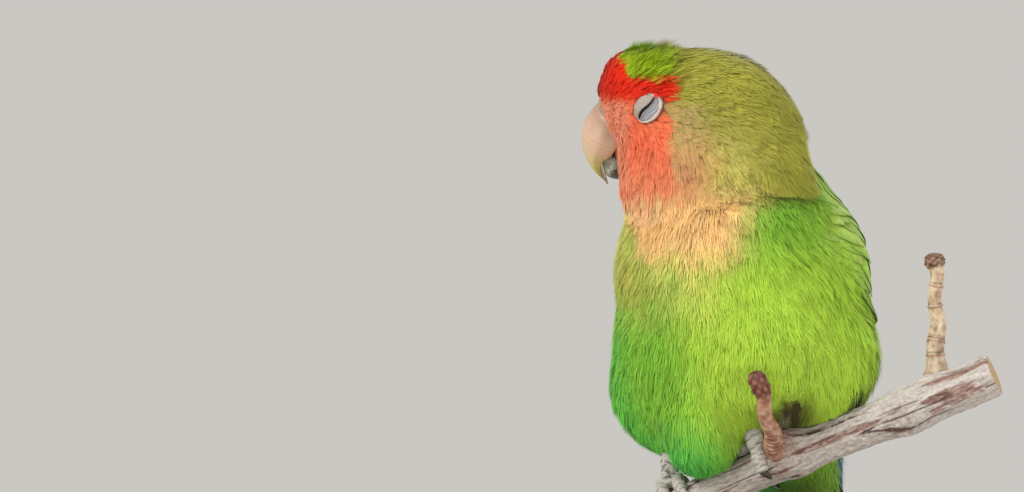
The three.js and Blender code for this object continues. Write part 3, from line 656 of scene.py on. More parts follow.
def new_material(name):
    """A material without nodes, and its node tree."""
    material = bpy.data.materials.new(name)
    material.use_nodes = True
    material.node_tree.nodes.clear()
    return material, material.node_tree


def read_values(tree, *names):
    """Nodes that read the values kept in the mesh under these names."""
    return [node(tree, "Attribute", attribute_name=name) for name in names]


def surface(tree, colour, roughness, relief=None, more=None):
    """The shader on its output; relief is a height to link, a strength and a depth in millimetres."""
    inputs = {"Base Color": colour, "Roughness": roughness, **(more or {})}
    if relief:
        height, strength, depth = relief
        bump = node(tree, "Bump", {"Height": height, "Strength": strength, "Distance": depth * MM})
        inputs["Normal"] = (bump, 0)
    shader = node(tree, "BsdfPrincipled", inputs)
    node(tree, "OutputMaterial", {"Surface": (shader, 0)})


def grains(tree, size, source=None, **inputs):
    """Noise in grains of a size in millimetres along X, Y and Z of the object, or of another source."""
    place = source or (node(tree, "TexCoord"), "Object")
    sides = tuple(side * MM for side in size)
    sized = node(tree, "Mapping", {"Vector": place, "Scale": sides}, vector_type="TEXTURE")
    return node(tree, "TexNoise", {"Vector": (sized, 0), "Scale": 1.0, **inputs})


def pattern(tree, size, low, high, **inputs):
    """Round grains of one size in millimetres, whose values run from low to high."""
    made = grains(tree, (size, size, size), **inputs)
    return node(tree, "MapRange", {"Value": (made, "Fac"), **NOISE_SPAN, "To Min": low, "To Max": high})


def feather_material(name, root_shade, tip_shade, roughness, sheen):
    """Body feathers: barbs of dull keratin, darker down at the root and lightest at the tip.

    The colour is the piece's marking, shaded from root to tip and shifted a little from tuft to tuft,
    with blotches 7 mm wide and flecks 0.6 mm wide.
    """
    material, tree = new_material(name)
    marking, along, tuft = read_values(tree, "Marking", "Along", "Tuft")
    stops = [(0.0, grey(root_shade)), (0.55, grey(0.92)), (1.0, grey(tip_shade))]
    shade = node(tree, "ValToRGB", {"Fac": (along, "Fac")}, stops)
    paler = node(tree, "MapRange", {"Value": (tuft, "Fac"), "To Min": 0.88, "To Max": 1.1})
    blotch = pattern(tree, 7.143, 0.92, 1.07)
    fleck = pattern(tree, 0.625, 0.92, 1.07)
    lively = node(tree, "Math", {0: (paler, 0), 1: (blotch, 0)}, operation="MULTIPLY")
    lit = node(tree, "Math", {0: (lively, 0), 1: (fleck, 0)}, operation="MULTIPLY")
    shaded = node(tree, "VectorMath", {0: (marking, "Color"), 1: (shade, "Color")}, operation="MULTIPLY")
    final = node(tree, "VectorMath", {0: (shaded, 0), "Scale": (lit, 0)}, operation="SCALE")
    soft = {"Specular IOR Level": 0.25, "Sheen Weight": sheen, "Sheen Roughness": 0.5}
    surface(tree, (final, 0), roughness, more=soft)
    return material


# The plumage's markings: where the red face ends behind, as steps of the angle over the cheek and of
# the way towards the bill, and where it ends above, as steps of that way and of the angle
FACE_HEM = ((-90, -3), (-60, -1.5), (-30, -2.2), (30, -2.2), (50, -1.6), (70, 7.5), (90, 9))
FACE_TOP = ((-6, 47), (6, 48), (7.5, 64), (9, 84), (10.5, 100))


def markings(points, p):
    """Colour of the plumage at each point: soft-edged regions laid over one another.

    Regions are bounded by the distance from the bill, the angle over the cheek, and the height,
    each moved to and fro by noise about 4 mm wide so that no edge is straight.
    """
    wander = noise(points / 4.0) + 0.5 * noise(points / 1.6 + 7)
    forth, rise, aside = HEAD.read(points)
    over = np.degrees(np.arctan2(rise, np.abs(aside) + 1e-6)) + 3 * wander
    ahead = forth + 0.5 * wander
    front, left, up = TRUNK.read(points)
    up = up + 1.6 * wander
    behind = -front + 1.5 * wander
    tail_top = TAIL.read(points)[2]

    breast = smooth(up, 30, 50) * smooth(behind, 8, -4) * smooth(left, 16, 4)
    low_back = smooth(behind, 15, 20) * smooth(up, 34, 24) * smooth(np.abs(left - 1), 14, 9)
    nape = smooth(up, 58, 66)
    low_edge = up - 11 * smooth(left, -5, -17)
    band = smooth(low_edge, 45, 53) * smooth(up, 69, 61) * smooth(behind, 5, -3) * smooth(left, 19, 9)
    crown = smooth(over, 34, 50) * smooth(rise, 2, 6) * smooth(ahead, -4.5, 0.5)
    ear = smooth(ahead, -12, -6) * smooth(over, 26, 8) * smooth(rise, -15, -8) * smooth(ahead, 0, -4)
    inside = smooth(ahead - np.interp(over, *zip(*FACE_HEM)), -1.6, 0.8)
    face = inside * smooth(over - np.interp(forth, *zip(*FACE_TOP)), 3, -3) * smooth(up, 61.2, 69)
    below = face * smooth(rise, -6, -13) + 0.35 * near(points, CHEEK_CORNER, 6.0)
    wing_tips = 2.2 * near(points, WING_GAP, 2.6) * smooth(wander, -1.2, 0.2)
    depths = np.array([0, HOLLOW_DEPTH, 0])
    regions = [
        (p.flank, smooth(left, -6, 10) * smooth(up, 62, 42) * smooth(up, 2, 14)),
        (p.vent, smooth(up, 17, 4) * smooth(left, 8, 0)),
        (p.vent, 0.6 * smooth(left, -12, -20) * smooth(up, 44, 30)),
        (p.straw, breast * (0.6 + 0.22 * wander)),
        (p.back, smooth(behind, 11, 21) * smooth(up, 6, 16)),
        (p.rump, low_back * smooth(tail_top, 0, 3)),
        (p.nape, nape),
        (p.hind_neck, nape * smooth(behind, 7, 19)),
        (p.apricot, band),
        *((getattr(p, name), amount * near(points, pixel, size)) for name, pixel, size, amount in SPOTS),
        (p.throat, smooth(up, 59, 66) * smooth(ahead, -12, -3) * smooth(rise, -4, -10)),
        (p.crown, crown),
        (p.ear, 0.8 * ear),
        (p.down, 0.9 * near(points, GREY_PATCH, 4.6)),
        (p.face, face),
        (p.throat, 0.85 * below),
        (p.lores, 0.8 * face * smooth(ahead, 5.5, 8) * smooth(over, 24, 8)),
        (p.forehead, smooth(face, 0.1, 0.6) * smooth(over, 14, 30) * smooth(rise, 0.0, 3.6)),
        (p.quill, wing_tips),
        # Painted shade: the dark olive shaded colour fills the hollow where the coat parts over the branch
        (p.shaded, 1.7 * near(points - depths, HOLLOW, 4.2)),
    ]
    colour = np.broadcast_to(np.asarray(p.belly), points.shape)
    for layer, amount in regions:
        colour = mix(colour, np.asarray(layer), np.clip(amount, 0, 1)[..., None])
    return colour


# The eyes' places, in the head's own directions
EYE_PLACE = (3, 2.8)
EYE_SINK = 4.85
EYEBALL_RADIUS = 3.5
LID_RADIUS = 5.4
SLIT_TURN = 8.7
RING_TURN = 46
EYE_OPENING = (3.7, 2.75)


def eye_centre(side):
    """The eyeball's centre, EYE_SINK under the plumage's surface, and the way out of the head there."""
    out = HEAD.along(0, 0, side)
    deep = reach(HEAD.at(*EYE_PLACE, 0), out[None], 0.0)[0]
    on_face = HEAD.at(*EYE_PLACE, side * deep)
    normal = plumage(on_face[None])[1][0]
    return on_face - normal * EYE_SINK, normal


@functools.cache
def eye_frame(side):
    """The eye's centre, with directions along the opening, across it towards the brow, and out."""
    centre, out = eye_centre(side)
    forth, down = cosine(RING_TURN), sine(RING_TURN)
    long_way = HEAD.along(forth, -down, 0)
    long_way = unit(long_way - out * (long_way @ out))
    return Place(centre, long_way, side * np.cross(long_way, out), out)


# Where the face's feathers end on the bill: heights, and how far forward, in the head's own place
EDGE_HEIGHTS = (-22, -16, -8.7, -7.7, -6.1, -5.1, -4, -2.3, 1.5)
EDGE_WAYS = (7.5, 8.8, 9.0, 8.9, 9.5, 10.2, 11.6, 12.5, 13.1)
BILL_ROOT = (9.5, -3.5, 0)
SKIN_ROWS = 150
SKIN_COLUMNS = 200


@functools.cache
def skin_grid(coat_depth, face_depth):
    """Skin points on the body's grid: the plumage's surface drawn in by the coat's depth.

    The depth falls to the face's value towards the bill, and grows again under the bill's root.
    """
    around = np.arange(SKIN_COLUMNS) * 360 / SKIN_COLUMNS
    rise, around = np.meshgrid(np.linspace(0, 1, SKIN_ROWS), around, indexing="ij")
    origin, direction = body_ray(rise, around)
    outer = origin + direction * reach(origin, direction, 0.0)[..., None]
    forth, height, _ = HEAD.read(outer)
    depth = mix(coat_depth, face_depth, smooth(forth, -12, -3) * smooth(height, -20, -14))
    depth = depth + 0.3 * smooth(forth, 8.5, 12) * smooth(height, 4, 0) - fluff(outer)
    return origin + direction * reach(origin, direction, -depth)[..., None]


def grid_sample(grid, rise, around):
    """Bilinear reading of a (rows, columns) grid at rise 0..1 and around 0..1."""
    r = rise * (grid.shape[0] - 1)
    c = around * grid.shape[1]
    i = np.minimum(np.floor(r).astype(int), grid.shape[0] - 2)
    j = np.floor(c).astype(int)
    s, t = (r - i)[:, None], (c - j)[:, None]
    j0, j1 = j % grid.shape[1], (j + 1) % grid.shape[1]
    low = mix(grid[i, j0], grid[i, j1], t)
    high = mix(grid[i + 1, j0], grid[i + 1, j1], t)
    return mix(low, high, s)


def lie(points, normals):
    """Direction in which the feathers lie: away from the bill on the head, down and back on the body."""
    away = unit(points - HEAD.at(*BILL_ROOT)) + 0.35 * np.array([0, 0, -1])
    down = np.broadcast_to(TRUNK.along(-0.32, 0, -0.95), points.shape)
    share_down = smooth(UPRIGHT.read(points)[2], 84, 62)[..., None]
    wanted = mix(unit(away), down, share_down)
    swirl = noise(points / 9.0) * 0.22 + noise(points / 3.2 + 3) * 0.13
    wanted = wanted + swirl[..., None] * np.cross(normals, unit(wanted))
    return unit(wanted - normals * (wanted * normals).sum(-1, keepdims=True))


# The branch's knots: the place along it, how far each stands out, half its length
KNOTS = ((12.5, 0.9, 4), (40, 0.9, 5))


def perch_stray(along):
    """How far the branch's middle line wanders to its front and up: a sine of the way along for each."""
    return PERCH_BEND * np.sin(along / 13), 0.6 * PERCH_BEND * np.sin((along + 9) / 13)


def perch_radius(along):
    """The branch's radius: a straight taper plus a bell exp(-s²) for each knot."""
    taper = mix(*PERCH_RADII, (along - PERCH_REACH[0]) / (PERCH_REACH[1] - PERCH_REACH[0]))
    return taper + sum(rise * bell(along - place, size) for place, rise, size in KNOTS)


def clear_of_branch(points, gap):
    """Points inside the branch, or closer to it than the gap, moved straight out from its middle line."""
    along, front, up = PERCH.read(points)
    stray_front, stray_up = perch_stray(along)
    ahead, over = front - stray_front, up - stray_up
    away = np.hypot(ahead, over) + 1e-9
    room = perch_radius(along) + gap
    push = np.where((along > PERCH_REACH[0]) & (along < PERCH_REACH[1]), np.maximum(room - away, 0), 0)
    return points + PERCH.along(0 * along, ahead / away * push, over / away * push)


# Feathers as fans of barbs
BARB_ROWS = np.array([0.1, 0.42, 0.75, 1.0])
BARB_WIDTHS = np.array([0.8, 1.25, 1.0, 0.22])
PATCH = 0.003  # side of each feather's patch on the unwrap


def fan_points(roots, normals, lies, sizes, barbs, ragged, rng):
    """Barb edges of each feather, laid over the plumage.

    Barb a from -1 to 1 at share t lies L t (1 - 0.32 a²) along and W a t^0.6 (1 - 0.25 t²) across,
    each barb a little longer, shorter or to one side; then each point is moved along the normal until
    its distance to the fluffed form is the root's level, the tip's level and the lift blended by t.
    """
    count = len(roots)
    length_mm, half_width, root_level, tip_level, lift = (size[:, None, None] for size in sizes)
    a = np.linspace(-1, 1, barbs)[None, :, None]
    t = BARB_ROWS[None, None, :]
    uneven = 1 + ragged * rng.normal(size=(count, barbs, 1))
    aside = 0.1 * rng.normal(size=(count, barbs, 1))
    bend = 0.1 * rng.normal(size=(count, 1, 1))
    stray = rng.normal(size=(count, barbs, 1))
    along = length_mm * t * (1 - 0.32 * a**2) * uneven
    across = half_width * (a + aside * t) * t**0.6 * (1 - 0.25 * t**2) + bend * length_mm * t**2
    edge = half_width / barbs * BARB_WIDTHS[None, None, :]
    across = np.stack([across - edge, across + edge], -1)
    along = np.broadcast_to(along[..., None], across.shape)
    side = np.cross(lies, normals)
    shape = (count, 1, 1, 1, 3)
    points = (
        roots.reshape(shape)
        + lies.reshape(shape) * along[..., None]
        + side.reshape(shape) * across[..., None]
    )
    wanted = mix(root_level, tip_level, t**0.7) + lift * t**2.2
    wanted = wanted - 0.2 * half_width * a**2 + 0.1 * stray * t**2 * np.sqrt(half_width)
    wanted = np.broadcast_to(wanted[..., None], across.shape)
    for _ in range(2):
        value, normal = plumage(points)
        points = points + normal * (wanted + fluff(points) - value)[..., None]
    return points


def fans(points, colour, tuft, patch):
    """One shape of many feathers from their barbs' edge points, with the bake's patch for each."""
    count, barbs, rows = points.shape[:3]
    size = barbs * rows * 2
    index = np.arange(size).reshape(barbs, rows, 2)
    quads = np.stack([index[:, :-1, 0], index[:, :-1, 1], index[:, 1:, 1], index[:, 1:, 0]], -1)
    quads = quads.reshape(-1, 4)
    faces = (quads[None] + (np.arange(count) * size)[:, None, None]).reshape(-1, 4)
    along = np.broadcast_to(BARB_ROWS[None, None, :, None], points.shape[:4]).reshape(-1, 1)
    across = np.linspace(0, 1, barbs * 2).reshape(barbs, 1, 2)
    across = np.broadcast_to(across, (barbs, rows, 2)).ravel()
    local = np.stack([across, along[:size, 0]], -1) * PATCH
    spots = (patch[:, None] + local[None]).reshape(-1, 2)
    return Shape(
        points.reshape(-1, 3),
        [faces],
        [spots[faces]],
        Marking=np.repeat(colour, size, 0),
        Along=along,
        Tuft=np.repeat(tuft[:, None], size, 0),
    )


# The folded wing on the body's grid: the share down it where it leaves the body, its rise from and to,
# the angles of its front and its rear edge, each from the shoulder down, and the tip's place
WING_LEAVES_BODY = 0.72
WING_RISE = (0.6, 0.2)
WING_LEAD = (-14, 34)
WING_TRAIL = (44, 76)
WING_TIP_SPREAD = (7.2, -0.5)
WING_TIP_RISE = (3.4, 5.4)
WING_TIP_PULL = 18  # how strongly the wing's free part turns along the tail
WING_STEP = 0.02


def wing_edges(down):
    """The angles of the wing's front and rear edge at a share down it."""
    return mix(*WING_LEAD, smooth(down, 0, 0.7)), mix(*WING_TRAIL, smooth(down, 0, 0.4))


def on_wing(rise, around):
    """How far down and across the folded wing a place on the body's grid lies, for the nearer wing."""
    angle = around * 360
    angle = np.where((angle > 90) & (angle < 270), 180 - angle, angle)
    angle = np.where(angle > 180, angle - 360, angle)
    down = (WING_RISE[0] - rise) / (WING_RISE[0] - WING_RISE[1]) * WING_LEAVES_BODY
    lead, trail = wing_edges(down)
    return down, (angle - lead) / (trail - lead)


def over_wing(rise, around):
    """1 where a place on the body's grid lies over a folded wing, falling softly to 0 about it."""
    down, across = on_wing(rise, around)
    wide = smooth(across, -0.35, 0.05) * smooth(across, 1.4, 1.0)
    return wide * smooth(down, -0.35, 0.1) * smooth(down, 0.9, 0.72)


# The coat's zones: name, rise from and to, around from and to, barbs to a feather, slot
COATS = (
    ("coat_vent", 0.0, 0.15, 0.0, 1.0, 16, "body_plumage"),
    ("coat_belly", 0.15, 0.3, 0.5, 1.0, 16, "body_plumage"),
    ("coat_breast", 0.3, 0.42, 0.5, 1.0, 16, "body_plumage"),
    ("coat_upper_breast", 0.42, 0.54, 0.5, 1.0, 16, "body_plumage"),
    ("coat_back", 0.15, 0.4, 0.0, 0.5, 16, "body_plumage"),
    ("coat_mantle", 0.4, 0.54, 0.0, 0.5, 16, "body_plumage"),
    ("coat_neck_front", 0.54, 0.72, 0.5, 1.0, 14, "nape_plumage"),
    ("coat_neck_back", 0.54, 0.72, 0.0, 0.5, 14, "nape_plumage"),
    ("coat_cheeks", 0.72, 0.88, 0.0, 1.0, 9, "face_plumage"),
    ("coat_crown", 0.88, 1.0, 0.0, 1.0, 9, "face_plumage"),
)


# Length, half width and spacing of the feathers: on the body by height, on the head by the way from the bill
BODY_HEIGHTS = (-5, 10, 40, 60)
BODY_FEATHERS = ((8.5, 9.0, 8.0, 6.5), (1.7, 1.8, 1.7, 1.5), (1.12, 1.12, 1.12, 1.12))
BILL_MIDDLE = (11, -4, 0)
BILL_STEPS = (2, 6, 12, 20, 30)
HEAD_FEATHERS = ((2.2, 2.7, 3.5, 4.8, 6.0), (0.42, 0.55, 0.75, 1.0, 1.4), (0.37, 0.46, 0.62, 0.8, 1.0))


def feather_sizes(points):
    """Length, half width and spacing of the feathers at each point, in millimetres.

    They are smallest round the bill, grow over the head and the neck, and are longest on the belly.
    """
    height = UPRIGHT.read(points)[2]
    from_bill = np.linalg.norm(points - HEAD.at(*BILL_MIDDLE), axis=-1)
    on_head = smooth(height, 60, 74)
    return [
        mix(np.interp(height, BODY_HEIGHTS, body), np.interp(from_bill, BILL_STEPS, head), on_head)
        for body, head in zip(BODY_FEATHERS, HEAD_FEATHERS)
    ]


ROOT_CELLS = (120, 160)
PLASTIC_STEPS = (0.7548776662, 0.5698402910)  # 1 / p and 1 / p² of the plastic number p


def root_places(grid, zone):
    """Evenly spread roots: steps of the plastic number, warped by the wanted feathers per area."""
    low, high, start, end = zone[1:5]
    rows, columns = ROOT_CELLS
    rise = np.linspace(low, high, rows + 1)
    around = np.linspace(start, end, columns + 1)
    middles = np.meshgrid((rise[:-1] + rise[1:]) / 2, (around[:-1] + around[1:]) / 2, indexing="ij")
    flat = [middle.ravel() for middle in middles]
    step_r, step_a = (high - low) / rows * 0.5, (end - start) / columns * 0.5
    low_r, high_r = np.clip(flat[0] - step_r, 0, 1), np.clip(flat[0] + step_r, 0, 1)
    tall = grid_sample(grid, high_r, flat[1]) - grid_sample(grid, low_r, flat[1])
    wide = grid_sample(grid, flat[0], flat[1] + step_a) - grid_sample(grid, flat[0], flat[1] - step_a)
    area = np.linalg.norm(np.cross(tall, wide), axis=-1)
    spacing = feather_sizes(grid_sample(grid, *flat))[2]
    wanted = (area / spacing**2).reshape(rows, columns) + 1e-9
    picked = np.arange(int(wanted.sum()))
    first, second = ((0.5 + picked * step) % 1 for step in PLASTIC_STEPS)
    by_row = np.concatenate([[0], np.cumsum(wanted.sum(1))]) / wanted.sum()
    place = np.interp(first, by_row, np.arange(rows + 1))
    row = np.minimum(place.astype(int), rows - 1)
    by_column = np.concatenate([np.zeros((rows, 1)), np.cumsum(wanted, 1)], 1)
    by_column /= by_column[:, -1:]
    within = by_column[row]
    column = np.minimum((within[:, 1:] < second[:, None]).sum(1), columns - 1)
    low_edge, high_edge = within[picked, column], within[picked, column + 1]
    part = (second - low_edge) / (high_edge - low_edge + 1e-12)
    return mix(low, high, place / rows), mix(start, end, (column + part) / columns)


STRAYS_IN_HOLLOW = 0.13  # share of the feathers that still grow where the coat parts
SHORTEST_FEATHER = 0.3
SKIN_GAP, COAT_GAP = 0.1, 0.25  # room that skin and feathers leave about the branch


def grows(roots, rise, around, rng):
    """Which feathers grow: none on the bill, in an eye's opening or under a wing, and few in the hollow."""
    forth, up, _ = HEAD.read(roots)
    bare = (forth > np.interp(up, EDGE_HEIGHTS, EDGE_WAYS) - 0.5) & (up < 0.3) & (up > -20)
    for side in (1, -1):
        p, q, high = eye_frame(side).read(roots)
        bare |= (np.hypot(p / EYE_OPENING[0], q / EYE_OPENING[1]) < 0.94) & (high > 0)
    down, across = on_wing(rise, around)
    under = (down > 0.13) & (down < 0.85) & (across > 0.34) & (across < 0.92)
    lies = lie(roots, plumage(roots)[1])
    tips = roots + lies * feather_sizes(roots)[0][:, None] * 0.8
    parted = np.maximum(near(tips, HOLLOW, 4.6), near(roots, HOLLOW, 5.0)) > 0.5
    return ~bare & ~under & (~parted | (rng.random(len(roots)) < STRAYS_IN_HOLLOW))


def stop_at_eye(lengths, roots, lies, eye):
    """Ends feathers at the eye's opening, where root + s lie meets its ellipse at the smaller s."""
    p, q, high = eye.read(roots)
    p, q = p / EYE_OPENING[0], q / EYE_OPENING[1]
    step = lies @ eye.axes[:2].T / EYE_OPENING
    square, product = (step**2).sum(-1), p * step[:, 0] + q * step[:, 1]
    room = product**2 - square * (p**2 + q**2 - 1)
    stop = (-product - np.sqrt(np.maximum(room, 0))) / square
    meets = (room > 0) & (product < 0) & (high > 0) & (stop < lengths)
    return np.where(meets, np.maximum(stop, SHORTEST_FEATHER), lengths)


def coat(zone, settings, rng):
    """The feathers of one zone of the body's grid, as one shape."""
    grid = skin_grid(settings.coat_depth / MM, settings.face_depth / MM)
    rise, around = root_places(grid, zone)
    roots = grid_sample(grid, rise, around)
    keep = grows(roots, rise, around, rng)
    rise, around, roots = rise[keep], around[keep], roots[keep]
    count = len(roots)
    depth, normals = plumage(roots)
    forth, up, _ = HEAD.read(roots)
    lies = lie(roots, normals)
    lies = unit(lies + 0.1 * rng.normal(size=(count, 1)) * np.cross(lies, normals))
    long_mm, wide_mm, _ = feather_sizes(roots)
    long_mm = long_mm * (1 + 0.12 * rng.normal(size=count))
    for side in (1, -1):
        long_mm = stop_at_eye(long_mm, roots, lies, eye_frame(side))
    wide_mm = np.minimum(wide_mm, long_mm * 0.4)
    clump = (0.4 * noise(roots / 4.6) + 0.35 * noise(roots / 9.0 + 3)) * smooth(wide_mm, 0.8, 1.6)
    tip_level = 0.1 + 0.14 * rng.normal(size=count) + 1.9 * over_wing(rise, around) + clump
    crest = smooth(forth, -2.0, 2.5) * smooth(forth, 9.5, 6.5) * smooth(up, 4, 8)
    lift = crest * (settings.crest_lift / MM) * (0.4 + 0.7 * rng.random(count))
    hem = smooth(UPRIGHT.read(roots)[2], 14, 2)
    lift = lift + (0.5 + 0.9 * hem) * smooth(wide_mm, 1.0, 1.8) * rng.random(count) ** 3
    lift = lift + 1.6 * near(roots, GREY_PATCH, 3.4) * rng.random(count)
    long_mm = long_mm * (1 + 0.3 * crest + 0.5 * hem * rng.random(count) ** 2)
    sizes = (long_mm, wide_mm, depth - fluff(roots) + 0.15, tip_level, lift)
    points = fan_points(roots, normals, lies, sizes, zone[5], settings.raggedness, rng)
    colour = markings(roots + lies * long_mm[:, None] * 0.6, settings)
    wisps = near(roots, HOLLOW, 5.0) > 0.4
    colour[wisps] = mix(colour[wisps], np.asarray(settings.down), 0.3)
    # Painted shade: a fifth of the tufts on the side of the neck behind the cheek are 40% darker, as streaks
    # of shade between the feathers
    neck_streak_shade = smooth(forth, -7, -12) * smooth(forth, -27, -20) * smooth(up, -2, -7) * smooth(up, -17, -12)
    colour = colour * (1 - neck_streak_shade * (rng.random(count) < 0.2) * 0.4)[:, None]
    unwrap = np.stack([around, rise], -1)
    return fans(clear_of_branch(points, COAT_GAP), colour, rng.random(count), unwrap)


def skin_shape(settings):
    """The body's grid closed at its poles, with its markings and an even shade."""
    grid = skin_grid(settings.coat_depth / MM, settings.face_depth / MM)
    grid = clear_of_branch(grid, SKIN_GAP)
    return closed(grid, Marking=markings(grid, settings), Along=0.15, Tuft=0.4)


class LOVEBIRD_OT_plumage(bpy.types.Operator):
    """Skin and body feathers, in place of the head, neck, torso, rump and thighs"""

    bl_idname = "lovebird.plumage"
    bl_label = "Skin and coat"

    def execute(self, context):
        settings = context.scene.lovebird_plumage
        rng = np.random.default_rng(7)
        barbs = feather_material("body feathers, dull keratin barbs", 0.68, 1.06, 0.75, 0.1)
        skin = feather_material("skin under the coat, dull", 0.7, 0.7, 0.8, 0.0)
        flesh = ("head", "neck", "torso", "rump", "thigh_left", "thigh_right")
        add_piece("skin", skin_shape(settings), skin, flesh, "OFBake")
        for zone in COATS:
            add_piece(zone[0], coat(zone, settings, rng), barbs, (), "OFBake")
        return {"FINISHED"}


# The folded wings
def wing_rest(side, down, across):
    """A point on the plumage's surface under the wing, and the way out from it."""
    rise = mix(*WING_RISE, down / WING_LEAVES_BODY)
    angle = mix(*wing_edges(down), across)
    origin, direction = body_ray(rise, angle if side > 0 else 180 - angle)
    return origin + direction * reach(origin, direction, 0.0)[..., None], direction


def wing_point(side, down, across, height):
    """A point over the wing's resting surface.

    It follows the body as far as WING_LEAVES_BODY; from there a cubic with the same slope runs to
    the wing tip over the tail.
    """
    down, across, height = np.broadcast_arrays(down, across, height)
    held = np.minimum(down, WING_LEAVES_BODY)
    point, out = wing_rest(side, held, across)
    before, _ = wing_rest(side, held - WING_STEP, across)
    pace = (point - before) / WING_STEP
    span = 1 - WING_LEAVES_BODY
    s = np.maximum(down - WING_LEAVES_BODY, 0)[..., None] / span
    aside = side * mix(*WING_TIP_SPREAD, across)
    tip = TAIL.at(WING_REACH, aside, mix(*WING_TIP_RISE, across))
    free = out + (TAIL.along(0, 0.45 * side, 0.9) - out) * smooth(s, 0, 1)
    curve = (
        point * (2 * s**3 - 3 * s**2 + 1)
        + pace * span * (s**3 - 2 * s**2 + s)
        + tip * (3 * s**2 - 2 * s**3)
        + TAIL.axes[0] * WING_TIP_PULL * (s**3 - s**2)
    )
    return curve + unit(free) * height[..., None]


def vane_outline(t):
    """Half width of a vane: a quarter sine up to 0.7 of the length, then an ellipse's quarter to the tip."""
    swell = mix(0.5, 1.0, np.sin(np.minimum(t, 0.7) / 0.7 * np.pi / 2))
    return swell * rounded(t - 0.7, 0.302)


def vane_grid():
    """A vane's share of the way to its tip, and its place from -1 to 1 across."""
    t = np.linspace(0, 1, VANE_ROWS)[None, :, None]
    a = np.linspace(-1, 1, VANE_COLUMNS)[None, None, :]
    return t, a


# The wing's tiers: name, feathers, root's place down the wing, first and last tip, first and last
# place across, half width in spacings, height at the root and of the free part
WING_TIERS = (
    ("primaries", 7, 0.44, (1.0, 0.84), (0.06, 0.66), 1.15, (-0.5, -0.1)),
    ("secondaries", 9, 0.34, (0.76, 0.66), (0.2, 0.9), 1.15, (-0.4, 0.9)),
    ("greater_coverts", 12, 0.22, (0.46, 0.43), (0.1, 0.92), 1.3, (-0.3, 1.5)),
    ("median_coverts", 12, 0.14, (0.36, 0.34), (0.1, 0.92), 1.35, (-0.3, 1.8)),
    ("lesser_coverts", 13, 0.07, (0.28, 0.26), (0.1, 0.92), 1.4, (-0.3, 2.0)),
    ("marginal_coverts", 13, 0.02, (0.2, 0.19), (0.12, 0.9), 1.45, (-0.6, 2.0)),
)
VANE_ROWS = 26
VANE_COLUMNS = 9
BARB_RELIEF = (0.35, 0.08)  # strength, and depth in millimetres


def wing_vanes(side, tier, rng):
    """One tier of a wing: cambered vanes that overlap like shingles, each with a raised shaft."""
    name, count, start, tips, places, wide, heights = tier
    i = np.arange(count)[:, None, None] / (count - 1)
    t, a = vane_grid()
    tip = mix(*tips, i) + 0.016 * rng.normal(size=(count, 1, 1))
    spacing = (places[1] - places[0]) / (count - 1)
    frayed = 1 + 0.05 * rng.normal(size=(count, VANE_ROWS, 1)) * smooth(t, 0.3, 0.8) * np.abs(a)
    aside = a * wide * vane_outline(t) * frayed
    height = mix(*heights, smooth(t, 0, 0.45)) - 0.2 * aside * smooth(t, 0, 0.26)
    height = height - 0.12 * a**2 + 0.1 * bell(a, 0.12) * (1 - 0.8 * t)
    height = height + 0.12 * rng.normal(size=(count, 1, 1)) * t
    bowed = 3.4 * (name == "primaries") * smooth(mix(*places, i), 0.35, 0.1)
    height = height + bowed * bell(mix(start, tip, t) - 0.66, 0.075)
    height = height + 0.5 * rng.random((count, 1, 1)) * smooth(t, 0.6, 1) * (heights[1] > 0.5)
    down = mix(start, tip, t * (1 - 0.03 * a**2))
    across = mix(*places, i) + (aside + 0.12 * rng.normal(size=(count, 1, 1)) * t) * spacing
    upper = wing_point(side, down, across, height)
    lower = wing_point(side, down, across, height - 0.2 * (1 - 0.6 * t))
    return slabs(upper, lower, Along=t, Tuft=rng.random((count, 1, 1)))


def barb_stripes(tree, lean, pace):
    """Stripes sin(pace (v - lean |u - 1/2|)) over a vane: its map's axes, |u - 1/2| and the stripes."""
    spot = node(tree, "UVMap", uv_map="Pattern")
    axes = node(tree, "SeparateXYZ", {0: (spot, 0)})
    off = node(tree, "Math", {0: (axes, 0), 1: 0.5}, operation="SUBTRACT")
    apart = node(tree, "Math", {0: (off, 0)}, operation="ABSOLUTE")
    slant = node(tree, "Math", {0: (apart, 0), 1: -lean, 2: (axes, 1)}, operation="MULTIPLY_ADD")
    swing = node(tree, "Math", {0: (slant, 0), 1: pace}, operation="MULTIPLY")
    return axes, apart, node(tree, "Math", {0: (swing, 0)}, operation="SINE")


def vane_material(name, inner, outer, edge, tip_shade):
    """Flight and covert feathers: smooth locked barbs with a faint satin, dark at the hem.

    Across the vane the colour runs from the inner web to the outer web; 48 barbs run from the shaft
    to each edge at a slant, in colour and in bump.
    """
    material, tree = new_material(name)
    axes, _, wave = barb_stripes(tree, 0.35, 300.0)
    (tuft,) = read_values(tree, "Tuft")
    across = [(0.0, edge), (0.12, inner), (0.55, outer), (0.9, outer), (1.0, edge)]
    along = [(0.0, grey(0.55)), (0.5, grey(1.0)), (0.86, grey(1.0)), (1.0, grey(tip_shade))]
    webs = node(tree, "ValToRGB", {"Fac": (axes, 0)}, across)
    ends = node(tree, "ValToRGB", {"Fac": (axes, 1)}, along)
    base = node(tree, "VectorMath", {0: (webs, "Color"), 1: (ends, "Color")}, operation="MULTIPLY")
    barb = node(tree, "MapRange", {"Value": (wave, 0), "From Min": -1.0, "To Min": 0.86, "To Max": 1.06})
    grain = pattern(tree, 1.111, 0.85, 1.12, Detail=3.0)
    differ = node(tree, "MapRange", {"Value": (tuft, "Fac"), "To Min": 0.88, "To Max": 1.1})
    lively = node(tree, "Math", {0: (barb, 0), 1: (grain, 0)}, operation="MULTIPLY")
    lit = node(tree, "Math", {0: (lively, 0), 1: (differ, 0)}, operation="MULTIPLY")
    final = node(tree, "VectorMath", {0: (base, 0), "Scale": (lit, 0)}, operation="SCALE")
    satin = {"Specular IOR Level": 0.35, "Sheen Weight": 0.15}
    surface(tree, (final, 0), 0.5, ((wave, 0), *BARB_RELIEF), satin)
    return material


